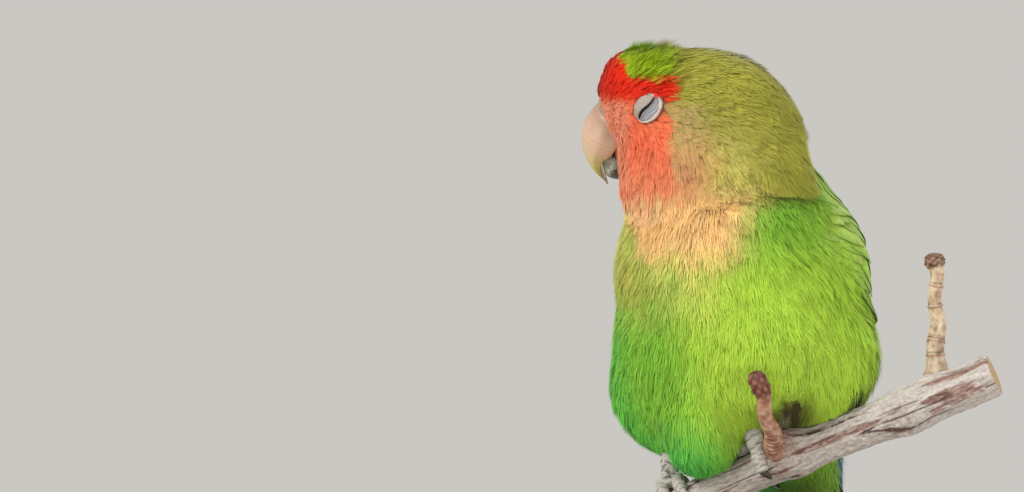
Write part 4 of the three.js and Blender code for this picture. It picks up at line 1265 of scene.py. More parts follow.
class LOVEBIRD_OT_wings(bpy.types.Operator):
    """Flight feathers and coverts of both folded wings"""

    bl_idname = "lovebird.wings"
    bl_label = "Wings"

    def execute(self, context):
        quill = context.scene.lovebird_plumage.quill
        rng = np.random.default_rng(11)
        flight = vane_material("primaries, satin keratin", quill, linear("#3f6a30"), linear("#0e1116"), 0.6)
        greens = (linear("#94c038"), linear("#b2d44c"), linear("#7fa636"))
        covert = vane_material("wing coverts, satin keratin", *greens, 0.86)
        for side, name in ((1, "left"), (-1, "right")):
            for tier in WING_TIERS:
                vanes = wing_vanes(side, tier, rng)
                if tier[0] == "primaries":
                    add_piece(f"primaries_{name}", vanes, flight, (f"wing_{name}",))
                else:
                    add_piece(f"{tier[0]}_{name}", vanes, covert)
        return {"FINISHED"}


# The tail
TAIL_PAIRS = 6
TAIL_HALF_WIDTH = 2.6
TAIL_SPACING = 1.35


def tail_half(side, rng):
    """Six feathers of a shallow roof: each lies lower and shorter than its inner neighbour."""
    i = np.arange(TAIL_PAIRS)[:, None, None]
    t, a = vane_grid()
    forth = mix(3, TAIL_LENGTH - 1.6 * i, t * (1 - 0.02 * a**2))
    aside = a * TAIL_HALF_WIDTH * vane_outline(t)
    across = side * ((i + 0.5) * TAIL_SPACING * (0.55 + 0.6 * t) + aside)
    under = 0.88 * (i + (0.5 if side < 0 else 0)) * 0.55 * smooth(t, 0.1, 0.45)
    height = 1 - under - 0.3 * (0.42 * aside / TAIL_SPACING + 0.3 * (i + 0.5))
    height = height - 0.12 * a**2 + 0.12 * bell(a, 0.1) * (1 - 0.7 * t)
    upper, lower = TAIL.at(forth, across, height + 0.4), TAIL.at(forth, across, height + 0.15)
    return slabs(upper, lower, Along=t, Tuft=rng.random((TAIL_PAIRS, 1, 1)), Middle=(i < 1) * 1.0)


def tail_material():
    """Tail feathers: green satin webs crossed by an orange patch, a black bar and a blue green tip.

    The two middle feathers stay green. Clouds 2 mm wide fray the bars; 67 barbs run to each edge.
    """
    material, tree = new_material("tail feathers, satin keratin")
    axes, apart, wave = barb_stripes(tree, 0.3, 420.0)
    (middle,) = read_values(tree, "Middle")
    fine = grains(tree, (2, 2, 2), Detail=3.0)
    moved = node(tree, "Math", {0: (fine, "Fac"), 1: 0.05, 2: (axes, 1)}, operation="MULTIPLY_ADD")
    green, orange, black = linear("#4f8a2c"), linear("#c8602a"), linear("#15181a")
    bars = [(0.0, green), (0.5, green), (0.58, orange), (0.7, orange), (0.76, black), (0.83, black)]
    bars += [(0.9, linear("#3f8f86")), (1.0, linear("#6fae9c"))]
    barred = node(tree, "ValToRGB", {"Fac": (moved, 0)}, bars)
    inputs = {AMOUNT: (middle, "Fac"), COLOUR_A: (barred, "Color"), COLOUR_B: opaque(linear("#46802e"))}
    mixed = node(tree, "Mix", inputs, data_type="RGBA")
    edge = [(0.0, grey(1.0)), (0.4, grey(1.0)), (0.5, grey(0.45))]
    hem = node(tree, "ValToRGB", {"Fac": (apart, 0)}, edge)
    dark = node(tree, "VectorMath", {0: (mixed, MIXED), 1: (hem, "Color")}, operation="MULTIPLY")
    surface(tree, (dark, 0), 0.5, ((wave, 0), *BARB_RELIEF), {"Specular IOR Level": 0.35})
    return material


class LOVEBIRD_OT_tail(bpy.types.Operator):
    """The tail's twelve feathers"""

    bl_idname = "lovebird.tail"
    bl_label = "Tail"

    def execute(self, context):
        rng = np.random.default_rng(13)
        shape = joined([tail_half(side, rng) for side in (1, -1)])
        add_piece("tail_feathers", shape, tail_material(), ("tail",))
        return {"FINISHED"}


# The bill and the cere
CULMEN_CENTRE = (6.3, -9.6)
CULMEN_RADIUS = 11.2
CULMEN_ARC = (52, -60)
BILL_TIP = (11.4, -20.9)
BILL_HALF_WIDTH = 5.4
# The upper bill's cutting edge, from the mouth's corner to the tip: how far forward, and heights
TOMIUM_WAYS = (5.5, 7.6, 9.2, 10.9, 12.7, 13.2, 12.6, 11.6)
TOMIUM_HEIGHTS = (-3.5, -6.5, -9.2, -12, -13.6, -15.6, -18.4, -20.8)


def culmen(v):
    """The bill's upper line: an arc of CULMEN_RADIUS that leaves its circle for the tip near the end."""
    bent = np.minimum(v / 0.9, 1)
    angle = np.radians(mix(*CULMEN_ARC, bent))[..., None]
    arc = np.array(CULMEN_CENTRE) + CULMEN_RADIUS * np.concatenate([np.cos(angle), np.sin(angle)], -1)
    return mix(arc, np.array(BILL_TIP), smooth(v, 0.86, 1)[..., None])


def upper_bill(rows=90, columns=72):
    """The upper mandible: at each share v a section between the culmen and the cutting edge.

    The section rounds over the culmen as (cos w, sin w), runs down both sides to a crisp edge, and
    turns in to a hollow palate. Growth lines run across it.
    """
    v = np.linspace(0, 1, rows)
    w = turns(columns)[None, :] - np.pi
    outer, inner = culmen(v), through(np.stack([TOMIUM_WAYS, TOMIUM_HEIGHTS], -1), v)
    middle, half = (outer + inner) / 2, (outer - inner) / 2
    cap = np.sin(np.minimum(v, 0.09) / 0.09 * np.pi / 2)
    taper = np.cos(np.maximum(v - 0.3, 0) / 0.7 * np.pi / 2) ** 0.75
    wide = BILL_HALF_WIDTH * (0.1 + 0.9 * taper) * (cap * 0.6 + 0.4)
    s = np.maximum(np.abs(w) / np.pi * 2 - 1, 0)
    down_side, turn_in = np.minimum(s / 0.66, 1), smooth(s, 0.68, 1.0)
    rise = np.where(np.abs(w) < np.pi / 2, np.cos(w), -np.sin(down_side * np.pi / 2) + 0.5 * turn_in)
    over = np.sin(np.abs(w)) * (1 - 0.14 * np.maximum(np.cos(w), 0))
    side = np.sign(w) * np.where(np.abs(w) < np.pi / 2, over, (1 - 0.12 * down_side**2) * (1 - turn_in))
    lines = 1 + 0.006 * noise(np.stack([v * 60, 0 * v, 0 * v], -1))
    forth = middle[:, :1] + half[:, :1] * rise * lines[:, None]
    up = middle[:, 1:] + half[:, 1:] * rise * lines[:, None]
    points = HEAD.at(forth, up, wide[:, None] * side * lines[:, None])
    return closed(points, Along=v[:, None])


LOWER_BILL_CENTRE = (9.4, -15.0)
LOWER_BILL_RADII = (3.5, 4.5, 3.9)


def lower_bill(rows=48, columns=56):
    """The lower mandible: a dished ball, pale at the front, with its rear painted dark in uneven blotches as
    shade under the upper bill.
    """
    outline = ball_outline(rows, columns)
    ahead, over, aside = np.moveaxis(outline, -1, 0)
    long_mm, high_mm, wide_mm = LOWER_BILL_RADII
    dapple = noise(outline * 3) + 0.5 * noise(outline * 9)
    dished = 0.5 * smooth(over, 0.3, 1.0) * smooth(np.abs(aside) * wide_mm, 3.0, 1.5)
    forth = LOWER_BILL_CENTRE[0] + long_mm * ahead + 0.35 * smooth(over, -0.4, -0.9) * smooth(ahead, 0, 0.8)
    up = LOWER_BILL_CENTRE[1] + high_mm * over - dished + 0.06 * dapple
    # Rim is the share of pale horn: the front is pale, and the rear is painted shade under the upper bill,
    # broken by blotches
    rim = smooth(ahead, 0.2, 0.75) * (0.85 + 0.3 * dapple)
    rim = np.clip(rim + 0.5 * smooth(dapple, 0.0, 0.6) * smooth(ahead, -0.5, 0.3), 0, 1)
    return closed(HEAD.at(forth, up, aside * wide_mm), Rim=rim)


CERE_CENTRE = (11.2, -1.9)
CERE_RADII = (2.6, 2.9, 4.6)
NOSTRIL = (12.6, -0.2, 2.7)


def cere_shape(rows=56, columns=64):
    """The cere: a soft saddle with fine wrinkles and a pit for each nostril with a raised lip."""
    outline = ball_outline(rows, columns)
    local = np.array([*CERE_CENTRE, 0]) + outline * CERE_RADII
    crease = 0.09 * noise(local * np.array([1.1, 2.6, 1.1]))
    depth = np.zeros(crease.shape)
    forth, up, aside = NOSTRIL
    for side in (1, -1):
        apart = np.linalg.norm((local - np.array([forth, up, side * aside])) / (1, 1, 1.3), axis=-1)
        depth += 0.28 * bell(apart - 1.0, 0.35) - 1.3 * np.exp(-((apart / 0.62) ** 3))
    local = local + outline * (crease + depth)[..., None]
    # Pit marks each nostril's hollow, which the cere's material paints near black as shade
    return closed(HEAD.at(*np.moveaxis(local, -1, 0)), Pit=smooth(depth, -0.15, -0.9))


def horn_material(settings):
    """Bill horn: smooth keratin with a soft gloss, pink at the root and yellow green at the tip.

    Growth lines about 0.4 mm apart run round it, fainter than the gloss, and clouds 2.4 mm wide
    move the colours to and fro.
    """
    material, tree = new_material("bill horn, smooth keratin")
    (along,) = read_values(tree, "Along")
    cloud = pattern(tree, 2.381, -0.05, 0.05, Detail=4.0)
    moved = node(tree, "Math", {0: (along, "Fac"), 1: (cloud, 0)}, operation="ADD")
    pink, olive = settings.horn_root, settings.horn_tip
    stops = [
        (0.12, between(pink, linear("#8a6a58"), 0.45)),
        (0.26, pink),
        (0.45, between(pink, olive, 0.2)),
        (0.68, olive),
        (0.98, between(olive, grey(0.12), 0.25)),
    ]
    tone = node(tree, "ValToRGB", {"Fac": (moved, 0)}, stops)
    lines = {"W": (along, "Fac"), "Scale": 45.0, "Detail": 2.0}
    rings = node(tree, "TexNoise", lines, noise_dimensions="1D")
    faint = {"Value": (rings, "Fac"), **NOISE_SPAN, "To Min": 0.95, "To Max": 1.04}
    fine = node(tree, "MapRange", faint)
    final = node(tree, "VectorMath", {0: (tone, "Color"), "Scale": (fine, 0)}, operation="SCALE")
    depth = {"Subsurface Weight": 0.12, "Subsurface Radius": (0.004, 0.002, 0.001), "Subsurface Scale": 0.3}
    surface(tree, (final, 0), 0.36, ((rings, "Fac"), 0.2, 0.1), depth)
    return material


def two_tone_material(name, attribute, tones, roughness, grain, depth):
    """Bare skin or horn whose colour runs from one tone to another along a value kept in the mesh.

    Mottling and a bump break the surface; grain is their width and depth the bump's, in millimetres.
    """
    material, tree = new_material(name)
    (value,) = read_values(tree, attribute)
    mottle = grains(tree, (grain, grain, grain), Detail=4.0)
    tone = node(tree, "ValToRGB", {"Fac": (value, "Fac")}, list(zip((0.1, 0.9), tones)))
    uneven = {"Value": (mottle, "Fac"), **NOISE_SPAN, "To Min": 0.84, "To Max": 1.12}
    vary = node(tree, "MapRange", uneven)
    final = node(tree, "VectorMath", {0: (tone, "Color"), "Scale": (vary, 0)}, operation="SCALE")
    surface(tree, (final, 0), roughness, ((mottle, "Fac"), 0.5, depth))
    return material


class LOVEBIRD_OT_bill(bpy.types.Operator):
    """Upper and lower mandible and the cere with its nostrils"""

    bl_idname = "lovebird.bill"
    bl_label = "Bill"

    def execute(self, context):
        settings = context.scene.lovebird_bare
        horn = horn_material(settings)
        # The lower bill runs from painted shade at its rear to pale horn at its front
        shade_to_pale = (settings.gape_and_shade, linear("#d6dac6"))
        rim = two_tone_material("lower bill horn", "Rim", shade_to_pale, 0.3, 1.429, 0.1)
        # The nostril pits are painted near black, as shade inside them
        bare = (settings.cere, linear("#1c1210"))
        skin = two_tone_material("cere, soft bare skin", "Pit", bare, 0.6, 0.6667, 0.15)
        add_piece("bill_upper_horn", upper_bill(), horn, ("bill_upper",))
        add_piece("bill_lower_horn", lower_bill(), rim, ("bill_lower",))
        add_piece("cere_skin", cere_shape(), skin, ("cere",))
        return {"FINISHED"}


# The closed eyes
def slit_line(p):
    """The slit's place across the opening at p along it: a straight line and a shallow S."""
    return 0.15 - sine(SLIT_TURN) * p + 0.22 * np.sin(np.pi * p / 2.9)


LID_THICKNESS = 0.5


def lid_shape(side, upper, rows=30, columns=44):
    """One lid on a ball, from the slit to its rim, folded parallel to the slit.

    u runs along the slit and v from the slit's edge to the rim; the edge rolls inwards, a lip swells
    behind it, and three folds die away towards the rim.
    """
    eye = eye_frame(side)
    u = np.linspace(-1, 1, columns)[None, :] * np.pi / 2 * 0.985
    v = np.linspace(0, 1, rows)[:, None] ** 1.2
    p = (EYE_OPENING[0] + 0.25) * np.sin(u) + 0 * v
    facing = 1 if upper else -1
    open_part = smooth(np.abs(p), 3.4, 2.2)
    start = slit_line(p) + facing * (0.01 + (0.01 + 0.1 * smooth(p, -1.9, 0.9)) * open_part)
    end = facing * (EYE_OPENING[1] + 0.25) * np.cos(u)
    start = facing * np.minimum(facing * start, facing * end)
    q = mix(start, end, v)
    from_edge = np.abs(q - start)
    height = np.sqrt(np.maximum(LID_RADIUS**2 - p**2 - q**2, 1))
    height = height - 0.42 * bell(from_edge, 0.16) * open_part
    height = height + 0.16 * bell(from_edge - 0.42, 0.24)
    folds = np.sin(from_edge * 2 * np.pi / 0.8 + 0.8 * np.sin(p))
    height = height + 0.09 * folds * smooth(from_edge, 0.5, 0.9) * smooth(from_edge, 2.8, 1.4)
    height = height + 0.15 * facing * smooth(from_edge, 0.1, 1.0)
    height = height + 0.03 * noise(np.stack([p * 2.2, q * 5.0, 0 * p + facing], -1))
    # Painted shade: darker along the slit, within 1.5 mm of it and near the rim under the ring, with faint
    # stripes along the folds
    lid_shade = mix(0.45, 0.3, upper) * smooth(from_edge, 1.5, 0.1) + 0.35 * smooth(v, 0.75, 1)
    edge = np.clip(smooth(from_edge, 0.22, 0.03) * open_part + lid_shade + 0.12 * folds, 0, 1)
    outer, inner = eye.at(p, q, height), eye.at(p, q, height - LID_THICKNESS)
    return slabs(outer[None], inner[None], Edge=edge[None])


def eye_ring(side, rows=110, columns=14):
    """The bare ring: a low beaded wall about the lids, thickest behind and below the eye."""
    eye = eye_frame(side)
    around = turns(rows)[:, None]
    tube = turns(columns)[None, :]
    bead = 1 + 0.25 * np.sin(around * 26 + 2 * np.sin(around * 3)) * np.cos(tube)
    bead = bead + 0.15 * np.sin(around * 7 + 1)
    thick = 0.27 * bead * (0.72 - 0.42 * np.sin(around + 0.4))
    swell = thick * 0.9 * np.sin(tube)
    p = (EYE_OPENING[0] - 0.1 + swell + 0.06 * np.sin(around * 5)) * np.cos(around)
    q = (EYE_OPENING[1] - 0.1 + swell) * np.sin(around)
    base = np.sqrt(LID_RADIUS**2 - p**2 - q**2)
    points = eye.at(p, q, base + 0.02 + thick * np.cos(tube))
    quads, places = grid_faces(rows + 1, columns, around=True)
    quads = quads % (rows * columns)
    flat = points.reshape(-1, 3)
    if not outward(flat - eye.origin, [quads]):
        quads, places = quads[:, ::-1], places[:, ::-1]
    return Shape(flat, [quads], [places], Edge=np.zeros((rows * columns, 1)))


def eye_material():
    """A wet dark eye: smooth and glossy, with a faint brown cloud 3 mm wide."""
    material, tree = new_material("eye, wet and dark")
    dark = linear("#0b0807")
    stops = [(0.3, dark), (0.7, between(dark, linear("#453027"), 0.5))]
    tone = node(tree, "ValToRGB", {"Fac": (grains(tree, (3.333,) * 3), "Fac")}, stops)
    surface(tree, (tone, "Color"), 0.12)
    return material


class LOVEBIRD_OT_eyes(bpy.types.Operator):
    """Eyeballs, lids and the bare ring round each eye"""

    bl_idname = "lovebird.eyes"
    bl_label = "Closed eyes"

    def execute(self, context):
        settings = context.scene.lovebird_bare
        # dark is painted shade on the lids, laid in by their shade value; the ring's value is 0
        wet, dark = eye_material(), linear("#2b2422")
        finish = (0.5, 0.4545, 0.08)
        upper = two_tone_material("upper lid, fine bare skin", "Edge", (settings.lid, dark), *finish)
        lower = two_tone_material("lower lid, fine bare skin", "Edge", (settings.lid_low, dark), *finish)
        bare = (settings.ring, dark)
        ring = two_tone_material("eye ring, pale bare skin", "Edge", bare, 0.55, 0.5556, 0.1)
        for side, name in ((1, "left"), (-1, "right")):
            centre, out = eye_centre(side)
            middle = centre + out * (EYE_SINK - 0.1 - EYEBALL_RADIUS)
            eyeball = closed(middle + ball_outline(40, 56) * EYEBALL_RADIUS)
            over, under = lid_shape(side, True), lid_shape(side, False)
            add_piece(f"eye_{name}", eyeball, wet, (f"eyeball_{name}",))
            add_piece(f"upper_lid_{name}", over, upper, (f"lid_upper_{name}",))
            add_piece(f"lower_lid_{name}", under, lower, (f"lid_lower_{name}",))
            add_piece(f"eye_ring_{name}", eye_ring(side), ring)
        return {"FINISHED"}


# The feet
FEET = {"left": 2.2, "right": -16.2}
# A toe: whether it lies in front, which way it spreads, its radius, its last angle, its claw's arc
TOES = (
    ("inner_front", 1, -1, 1.45, 112, 30),
    ("outer_front", 1, 1, 1.55, 128, 29),
    ("outer_rear", -1, 1, 1.5, 120, 34),
    ("inner_rear", -1, -1, 1.4, 92, 30),
)
TOE_SPREAD = 1.75
# The toes that the photo shows bent, by foot and name: how far the knuckle stands off, the shift
# along at the root and at the tip, the last angle, how stout, and the claw's arc
BENT_TOES = {
    ("left", "outer_front"): (4.6, 2.4, 0.2, 100, 1.3, 15),
    ("left", "inner_front"): (0, -4.4, -4.4, 20, 1.0, 29),
}
TOE_START = 4
SOLID_GAP = 0.3
TARSUS_RADIUS = 2.0
TARSUS_SHOWN = 6.5
PAD_RADII = (3.2, 3.5, 1.9)
CLAW_RADIUS = 0.95
RING_START = np.array([0.31, -0.87, 0.38])  # a direction that no tube follows


def perch_point(along, turned, radius):
    """A point about the branch's middle line: the angle is 0 on top and grows over the front."""
    front, up = perch_stray(along)
    return PERCH.at(along, front + radius * np.sin(turned), up + radius * np.cos(turned))


def round_perch(along, degrees, height):
    """A point over the branch's smooth surface."""
    return perch_point(along, np.radians(degrees), perch_radius(along) + height)


def rings_along(path, columns):
    """Directions round each point of a path, square to it: unit vectors in a (rows, columns) grid."""
    forward = unit(np.gradient(path, axis=0))
    across = unit(RING_START - forward * (forward @ RING_START)[:, None])
    up = np.cross(forward, across)
    w = turns(columns)[None, :, None]
    return across[:, None] * np.cos(w) + up[:, None] * np.sin(w)


def tube(path, ring, radius, **values):
    """A closed tube: each point stands a radius out from the path in its ring's direction."""
    return closed(path[:, None] + ring * radius[..., None], **values)


def bark_relief(along, lattice, deep, bare):
    """How far the bark stands out, where it has split, and where its red layer shows.

    All are noise on a circle of the branch, stretched along it: ridges 1 mm wide and 25 mm long,
    splits where another noise passes zero, and red patches 22 mm long.
    """

    def grain(along_scale, round_scale, shift=0.0):
        return noise(np.concatenate([along[..., None] * along_scale, lattice * round_scale], -1) + shift)

    ridges = grain(0.04, 0.85) * 0.6 + grain(0.13, 1.7, 5) * 0.35
    fine = grain(0.9, 2.6, 11)
    crack = smooth(1 - np.abs(grain(0.05, 0.7, 23) + 0.12 * fine), 0.84, 0.98)
    crack = crack * smooth(grain(0.09, 0.4, 31), -0.5, 0.1)
    red = smooth(grain(0.045, 0.62, 41) + 0.35 * grain(0.1, 2.0, 47) + 0.08 * fine + bare, 0.38, 0.54)
    pits = smooth(grain(1.1, 1.3, 3), 0.5, 0.85)
    relief = deep * (0.6 * ridges + 0.3 * fine - 0.8 * crack - 0.2 * pits - 0.3 * red)
    return relief, crack, red


def bent(foot, toe):
    """A toe's knuckle, shifts, last angle, stoutness and claw's arc, straight unless it is a bent one."""
    return BENT_TOES.get((foot, toe[0]), (0, 0, 0, toe[4], 1, toe[5]))


def toe_shape(foot, outer, toe, rows=72, columns=26):
    """A toe: a tube over the branch that swells at three joints, with two rows of scutes on its upper side.

    The scutes are |sin| bumps along the toe, half a step apart on its two sides, and pebbles below.
    """
    _, back, spread, radius, _, _ = toe
    knuckle, *shift, last, stout, _ = bent(foot, toe)
    t = np.linspace(0, 1, rows)
    angle = back * mix(TOE_START, last, t)
    along = FEET[foot] + outer * spread * (TOE_SPREAD + 0.9 * t) + mix(*shift, t)
    arch = knuckle * bell(np.abs(angle) - 16, 26)
    path = round_perch(along, angle, SOLID_GAP * 0.4 + radius + arch)
    centre = round_perch(along, angle, 0)
    size = stout * radius * (1 - 0.2 * t) * (1 + 0.12 * np.cos(t * 18))
    size = size * rounded(t - 0.93, 0.072) * rounded(0.04 - t, 0.041)
    ring = rings_along(path, columns)
    outside = (ring * unit(path - centre)[:, None]).sum(-1)
    sideways = (ring * PERCH.axes[0]).sum(-1)
    stagger = 0.25 * np.tanh(5 * sideways) + 0.3 * noise(ring * 1.5 + t[:, None, None] * 5)
    scutes = np.abs(np.sin(np.pi * (9 * t[:, None] + stagger))) ** 0.6 - 0.75
    cells = np.abs(noise(ring * 2.6 + t[:, None, None] * 17)) ** 0.5 - 0.5
    relief = 0.12 * scutes * smooth(outside, -0.1, 0.6) + 0.13 * cells
    between_scutes = smooth(scutes, -0.2, -0.6) * smooth(outside, -0.1, 0.5)
    groove = np.maximum(between_scutes, 0.7 * smooth(cells, -0.25, -0.5))
    return tube(path, ring, size[:, None] * (1 + relief), Groove=groove)


def shank_shape(place, rows=40, columns=28):
    """The shank: a short upright tube ringed by scales, which runs up into the plumage."""
    low = round_perch(np.array(place), np.array(-6.0), SOLID_GAP + 1.6)
    t = np.linspace(0, 1, rows)
    path = low + TRUNK.along(0.6 * t, 0 * t, TARSUS_SHOWN * t)
    size = TARSUS_RADIUS * 1.05 * rounded(t - 0.9, 0.102) * rounded(0.1 - t, 0.102)
    ring = rings_along(path, columns)
    cells = noise(ring * 2.6 + t[:, None, None] * 9)
    return tube(path, ring, size[:, None] * (1 + 0.06 * cells), Groove=smooth(cells, 0.0, -0.8))


def pad_shape(place, rows=26, columns=30):
    """The foot's sole: a flattened ball with pebbled skin on top of the branch."""
    centre = round_perch(np.array(place), np.array(0.0), SOLID_GAP + 1.5)
    outline = ball_outline(rows, columns)
    cells = noise(outline * 4.0 + place)
    scaled = outline * PAD_RADII * (1 + 0.06 * cells)[..., None]
    points = centre + PERCH.along(*np.moveaxis(scaled, -1, 0))
    return closed(points, Groove=smooth(cells, 0.0, -0.8))


def claw_shape(foot, outer, toe, rows=34, columns=18):
    """A claw: a cone bent down round the branch, with a sharp tip."""
    _, back, spread, _, _, _ = toe
    _, _, shift, last, _, arc = bent(foot, toe)
    t = np.linspace(0, 1, rows)
    angle = back * mix(last - 2, last + 10 + arc, t)
    along = FEET[foot] + outer * spread * (TOE_SPREAD + 0.9) * mix(1.0, 1.5, t) + shift
    path = round_perch(along, angle, SOLID_GAP * 0.6 + 0.95 + 0.45 * np.sin(np.pi * t * 0.8))
    size = CLAW_RADIUS * (1 - t**1.3) ** 0.8 + 0.02
    return tube(path, rings_along(path, columns), size[:, None], Tip=t[:, None])


class LOVEBIRD_OT_feet(bpy.types.Operator):
    """Scaly feet and their claws"""

    bl_idname = "lovebird.feet"
    bl_label = "Feet"

    def execute(self, context):
        settings = context.scene.lovebird_bare
        pale = (settings.foot, linear("#5f564f"))
        scale = two_tone_material("foot skin, dry scales", "Groove", pale, 0.6, 0.7143, 0.12)
        dark = (settings.claw, linear("#221d1a"))
        horn = two_tone_material("claw horn", "Tip", dark, 0.35, 1.111, 0.05)
        for name, outer in (("left", 1), ("right", -1)):
            toes = [toe_shape(name, outer, toe) for toe in TOES]
            foot = joined([*toes, shank_shape(FEET[name]), pad_shape(FEET[name])])
            claws = joined([claw_shape(name, outer, toe) for toe in TOES])
            nodes = [f"claw_{name}_{toe[0]}" for toe in TOES]
            add_piece(f"foot_scales_{name}", foot, scale, (f"foot_{name}",))
            add_piece(f"claws_{name}", claws, horn, nodes)
        return {"FINISHED"}


# The branch
BARK_CIRCLE = 4.4  # radius of the circle on which the bark's noise is read


def branch_shape(settings, rows=420, columns=132, caps=14):
    """The branch: a tube over its whole reach with bark relief, a scarred knot and sawn ends.

    The first and last rows turn in to each cut face, whose rings are told by the share from the middle.
    """
    low, high = PERCH_REACH
    inner = np.linspace(0, 1, caps + 1)[:-1]
    span = rows - 2 * caps
    along = np.concatenate([np.full(caps, low), np.linspace(low, high, span), np.full(caps, high)])
    inward = np.concatenate([inner, np.ones(span), inner[::-1]])[:, None]
    w = turns(columns)[None, :]
    along = np.broadcast_to(along[:, None], (rows, columns))
    lattice = np.broadcast_to(np.stack([np.cos(w), np.sin(w)], -1) * BARK_CIRCLE, (rows, columns, 2))
    rough = noise(np.concatenate([along[..., None] * 0.8, lattice], -1))

    def spot(place, size, angle):
        return bell(along - place, size) * smooth(np.cos(w - angle), 0.2, 0.95)

    scar = spot(38, 3.0, 1.9)
    swelling = spot(13, 3.2, 0.5)
    front_collar = spot(8.6, 4.0, 1.3)
    side_collar = spot(47.3, 3.4, -0.2)
    bare = 0.7 * (0.7 * spot(22, 9, 2.0) + 1.3 * spot(51, 10, 1.2)) - 0.14
    relief, crack, red = bark_relief(along, lattice, settings.bark_depth / MM, bare)
    bevel = 0.35 * (smooth(along, low + 0.8, low) + smooth(along, high - 0.8, high))
    bumps = scar * (0.5 + 0.7 * rough) + 0.9 * swelling + front_collar * (1.7 + 0.3 * rough)
    bumps = bumps + side_collar * (0.9 + 0.3 * rough)
    radius = (perch_radius(along) + relief - bevel + bumps) * inward
    red = 0.85 * red + 0.7 * swelling + 0.35 * front_collar + 0.4 * scar * smooth(rough, 0.1, -0.3)
    values = {"Crack": crack, "Red": np.clip(red, 0, 1), "Cut": smooth(inward, 0.999, 0.93), "Ring": inward}
    return closed(perch_point(along, w, radius), **values)


def branch_place(x, y, z):
    """A point given from the branch's middle, upright."""
    return np.array((x, y, PERCH_HEIGHT + z), float)


TWIG_FRONT = (branch_place(7.8, -1, 3.5), branch_place(5.9, -17, 8), branch_place(1.9, -23.5, 24.0))
TWIG_SIDE = (PERCH.at(47.3, -1.8, 1.5), branch_place(43.2, -5, 36), branch_place(42.4, -6, 50.5))


def twig_path(knots, t):
    """A quadratic curve from the twig's foot, bent towards its middle point, to its tip."""
    a, b, c = knots
    t = t[:, None]
    return a * (1 - t) ** 2 + 2 * b * t * (1 - t) + c * t**2


def twig_shape(knots, radii, tip_radius, scars, head, rows=170, columns=44):
    """A twig: a tapering tube with ring scars, that swells into a scaly bud at its tip.

    Scars are narrow raised rings exp(-s²); the bud's scales are diamonds between two sets of spirals.
    """
    t = np.linspace(0, 1, rows)
    kink = 0.35 * np.stack([np.sin(t * 17), np.sin(t * 13 + 1), 0 * t], -1) * smooth(t, 0.05, 0.3)[:, None]
    path = twig_path(knots, t) + kink
    w = turns(columns)[None, :]
    long_way = t[:, None]
    size = mix(mix(*radii, np.minimum(1, t * 1.6)), tip_radius, smooth(t, 1 - head, 1 - head * 0.6))
    rings = sum(
        0.2 * bell(long_way - place - 0.004 * np.sin(w + 40 * place), 0.007)
        - 0.14 * bell(long_way - place - 0.016, 0.006)
        for place in scars
    )
    spread = 1 + 0.35 * smooth(t, 0.25, 0.08)
    on_head = smooth(t, 1 - head, 1 - head * 0.75)[:, None]
    turn = long_way * 9 / head
    scales = np.sqrt(np.abs(np.sin(3 * w + turn) * np.sin(3 * w - turn)))
    lattice = np.stack([np.cos(w) + 0 * long_way, np.sin(w) + 0 * long_way, 0 * w + long_way * 9], -1)
    rough = 0.06 * noise(lattice * (2, 2, 2)) + 0.03 * noise(lattice * (6, 6, 5))
    wide = (size * spread)[:, None] * (1 + rough) + rings + on_head * (0.8 * scales - 0.45)
    wide = wide * rounded(t - 0.94, 0.0601)[:, None]
    # Shade is painted light and shade that follow the relief: light on the ring ridges and bumps, dark in
    # the grooves beside them, in dips and between the bud scales; the twig is also darker towards its foot
    foot_shade = mix(0.8, 1, smooth(long_way, 0.3, 0.5))
    shade = np.clip(0.5 + rings * 2.5 + rough * 5, 0, 1) * foot_shade * mix(1, 0.25 + 0.75 * scales, on_head)
    ruddy = np.maximum(on_head, 0.75 * smooth(rings + 0.04 * rough, 0.02, 0.12))
    return tube(path, rings_along(path, columns), wide, Bud=ruddy, Shade=shade)


def bark_material(settings):
    """Old bark: dull, dry and grey, with a red layer in patches, dark splits and paler ridges.

    Streaks follow the branch, 3.3 mm long and 0.7 mm wide; the sawn ends show pale wood with rings.
    """
    material, tree = new_material("branch bark, weathered")
    crack, red, cut, ring = read_values(tree, "Crack", "Red", "Cut", "Ring")
    place = node(tree, "TexCoord")
    turn = (0.0, math.radians(PERCH_SLOPE), math.radians(PERCH_TURN))
    turned = node(tree, "Mapping", {"Vector": (place, "Object"), "Rotation": turn})
    streak = grains(tree, (3.3333, 0.66667, 0.66667), (turned, 0), Detail=5.0, Roughness=0.65)
    speck = pattern(tree, 0.7143, 0.8, 1.15, Detail=4.0)
    bark, brown = settings.bark, settings.crack
    pale, dark = between(bark, linear("#e7e2dd"), 0.5), between(brown, linear("#191919"), 0.6)
    dull = [(0.3, between(bark, dark, 0.5)), (0.46, bark), (0.68, pale)]
    ruddy = [(0.3, dark), (0.5, brown), (0.6, between(brown, bark, 0.4)), (0.68, pale)]
    outer = node(tree, "ValToRGB", {"Fac": (streak, "Fac")}, dull)
    under = node(tree, "ValToRGB", {"Fac": (streak, "Fac")}, ruddy)
    wave = node(tree, "Math", {0: (ring, "Fac"), 1: 34.0}, operation="MULTIPLY")
    swing = node(tree, "Math", {0: (wave, 0)}, operation="SINE")
    rings = [(0.0, settings.heart), (1.0, between(settings.heart, brown, 0.35))]
    wood = node(tree, "ValToRGB", {"Fac": (swing, 0)}, rings)
    colour = (outer, "Color")
    for amount, layer in ((red, (under, "Color")), (crack, opaque(dark)), (cut, (wood, "Color"))):
        inputs = {AMOUNT: (amount, "Fac"), COLOUR_A: colour, COLOUR_B: layer}
        colour = (node(tree, "Mix", inputs, data_type="RGBA"), MIXED)
    final = node(tree, "VectorMath", {0: colour, "Scale": (speck, 0)}, operation="SCALE")
    surface(tree, (final, 0), 0.85, ((streak, "Fac"), 0.8, 0.3), {"Specular IOR Level": 0.25})
    return material


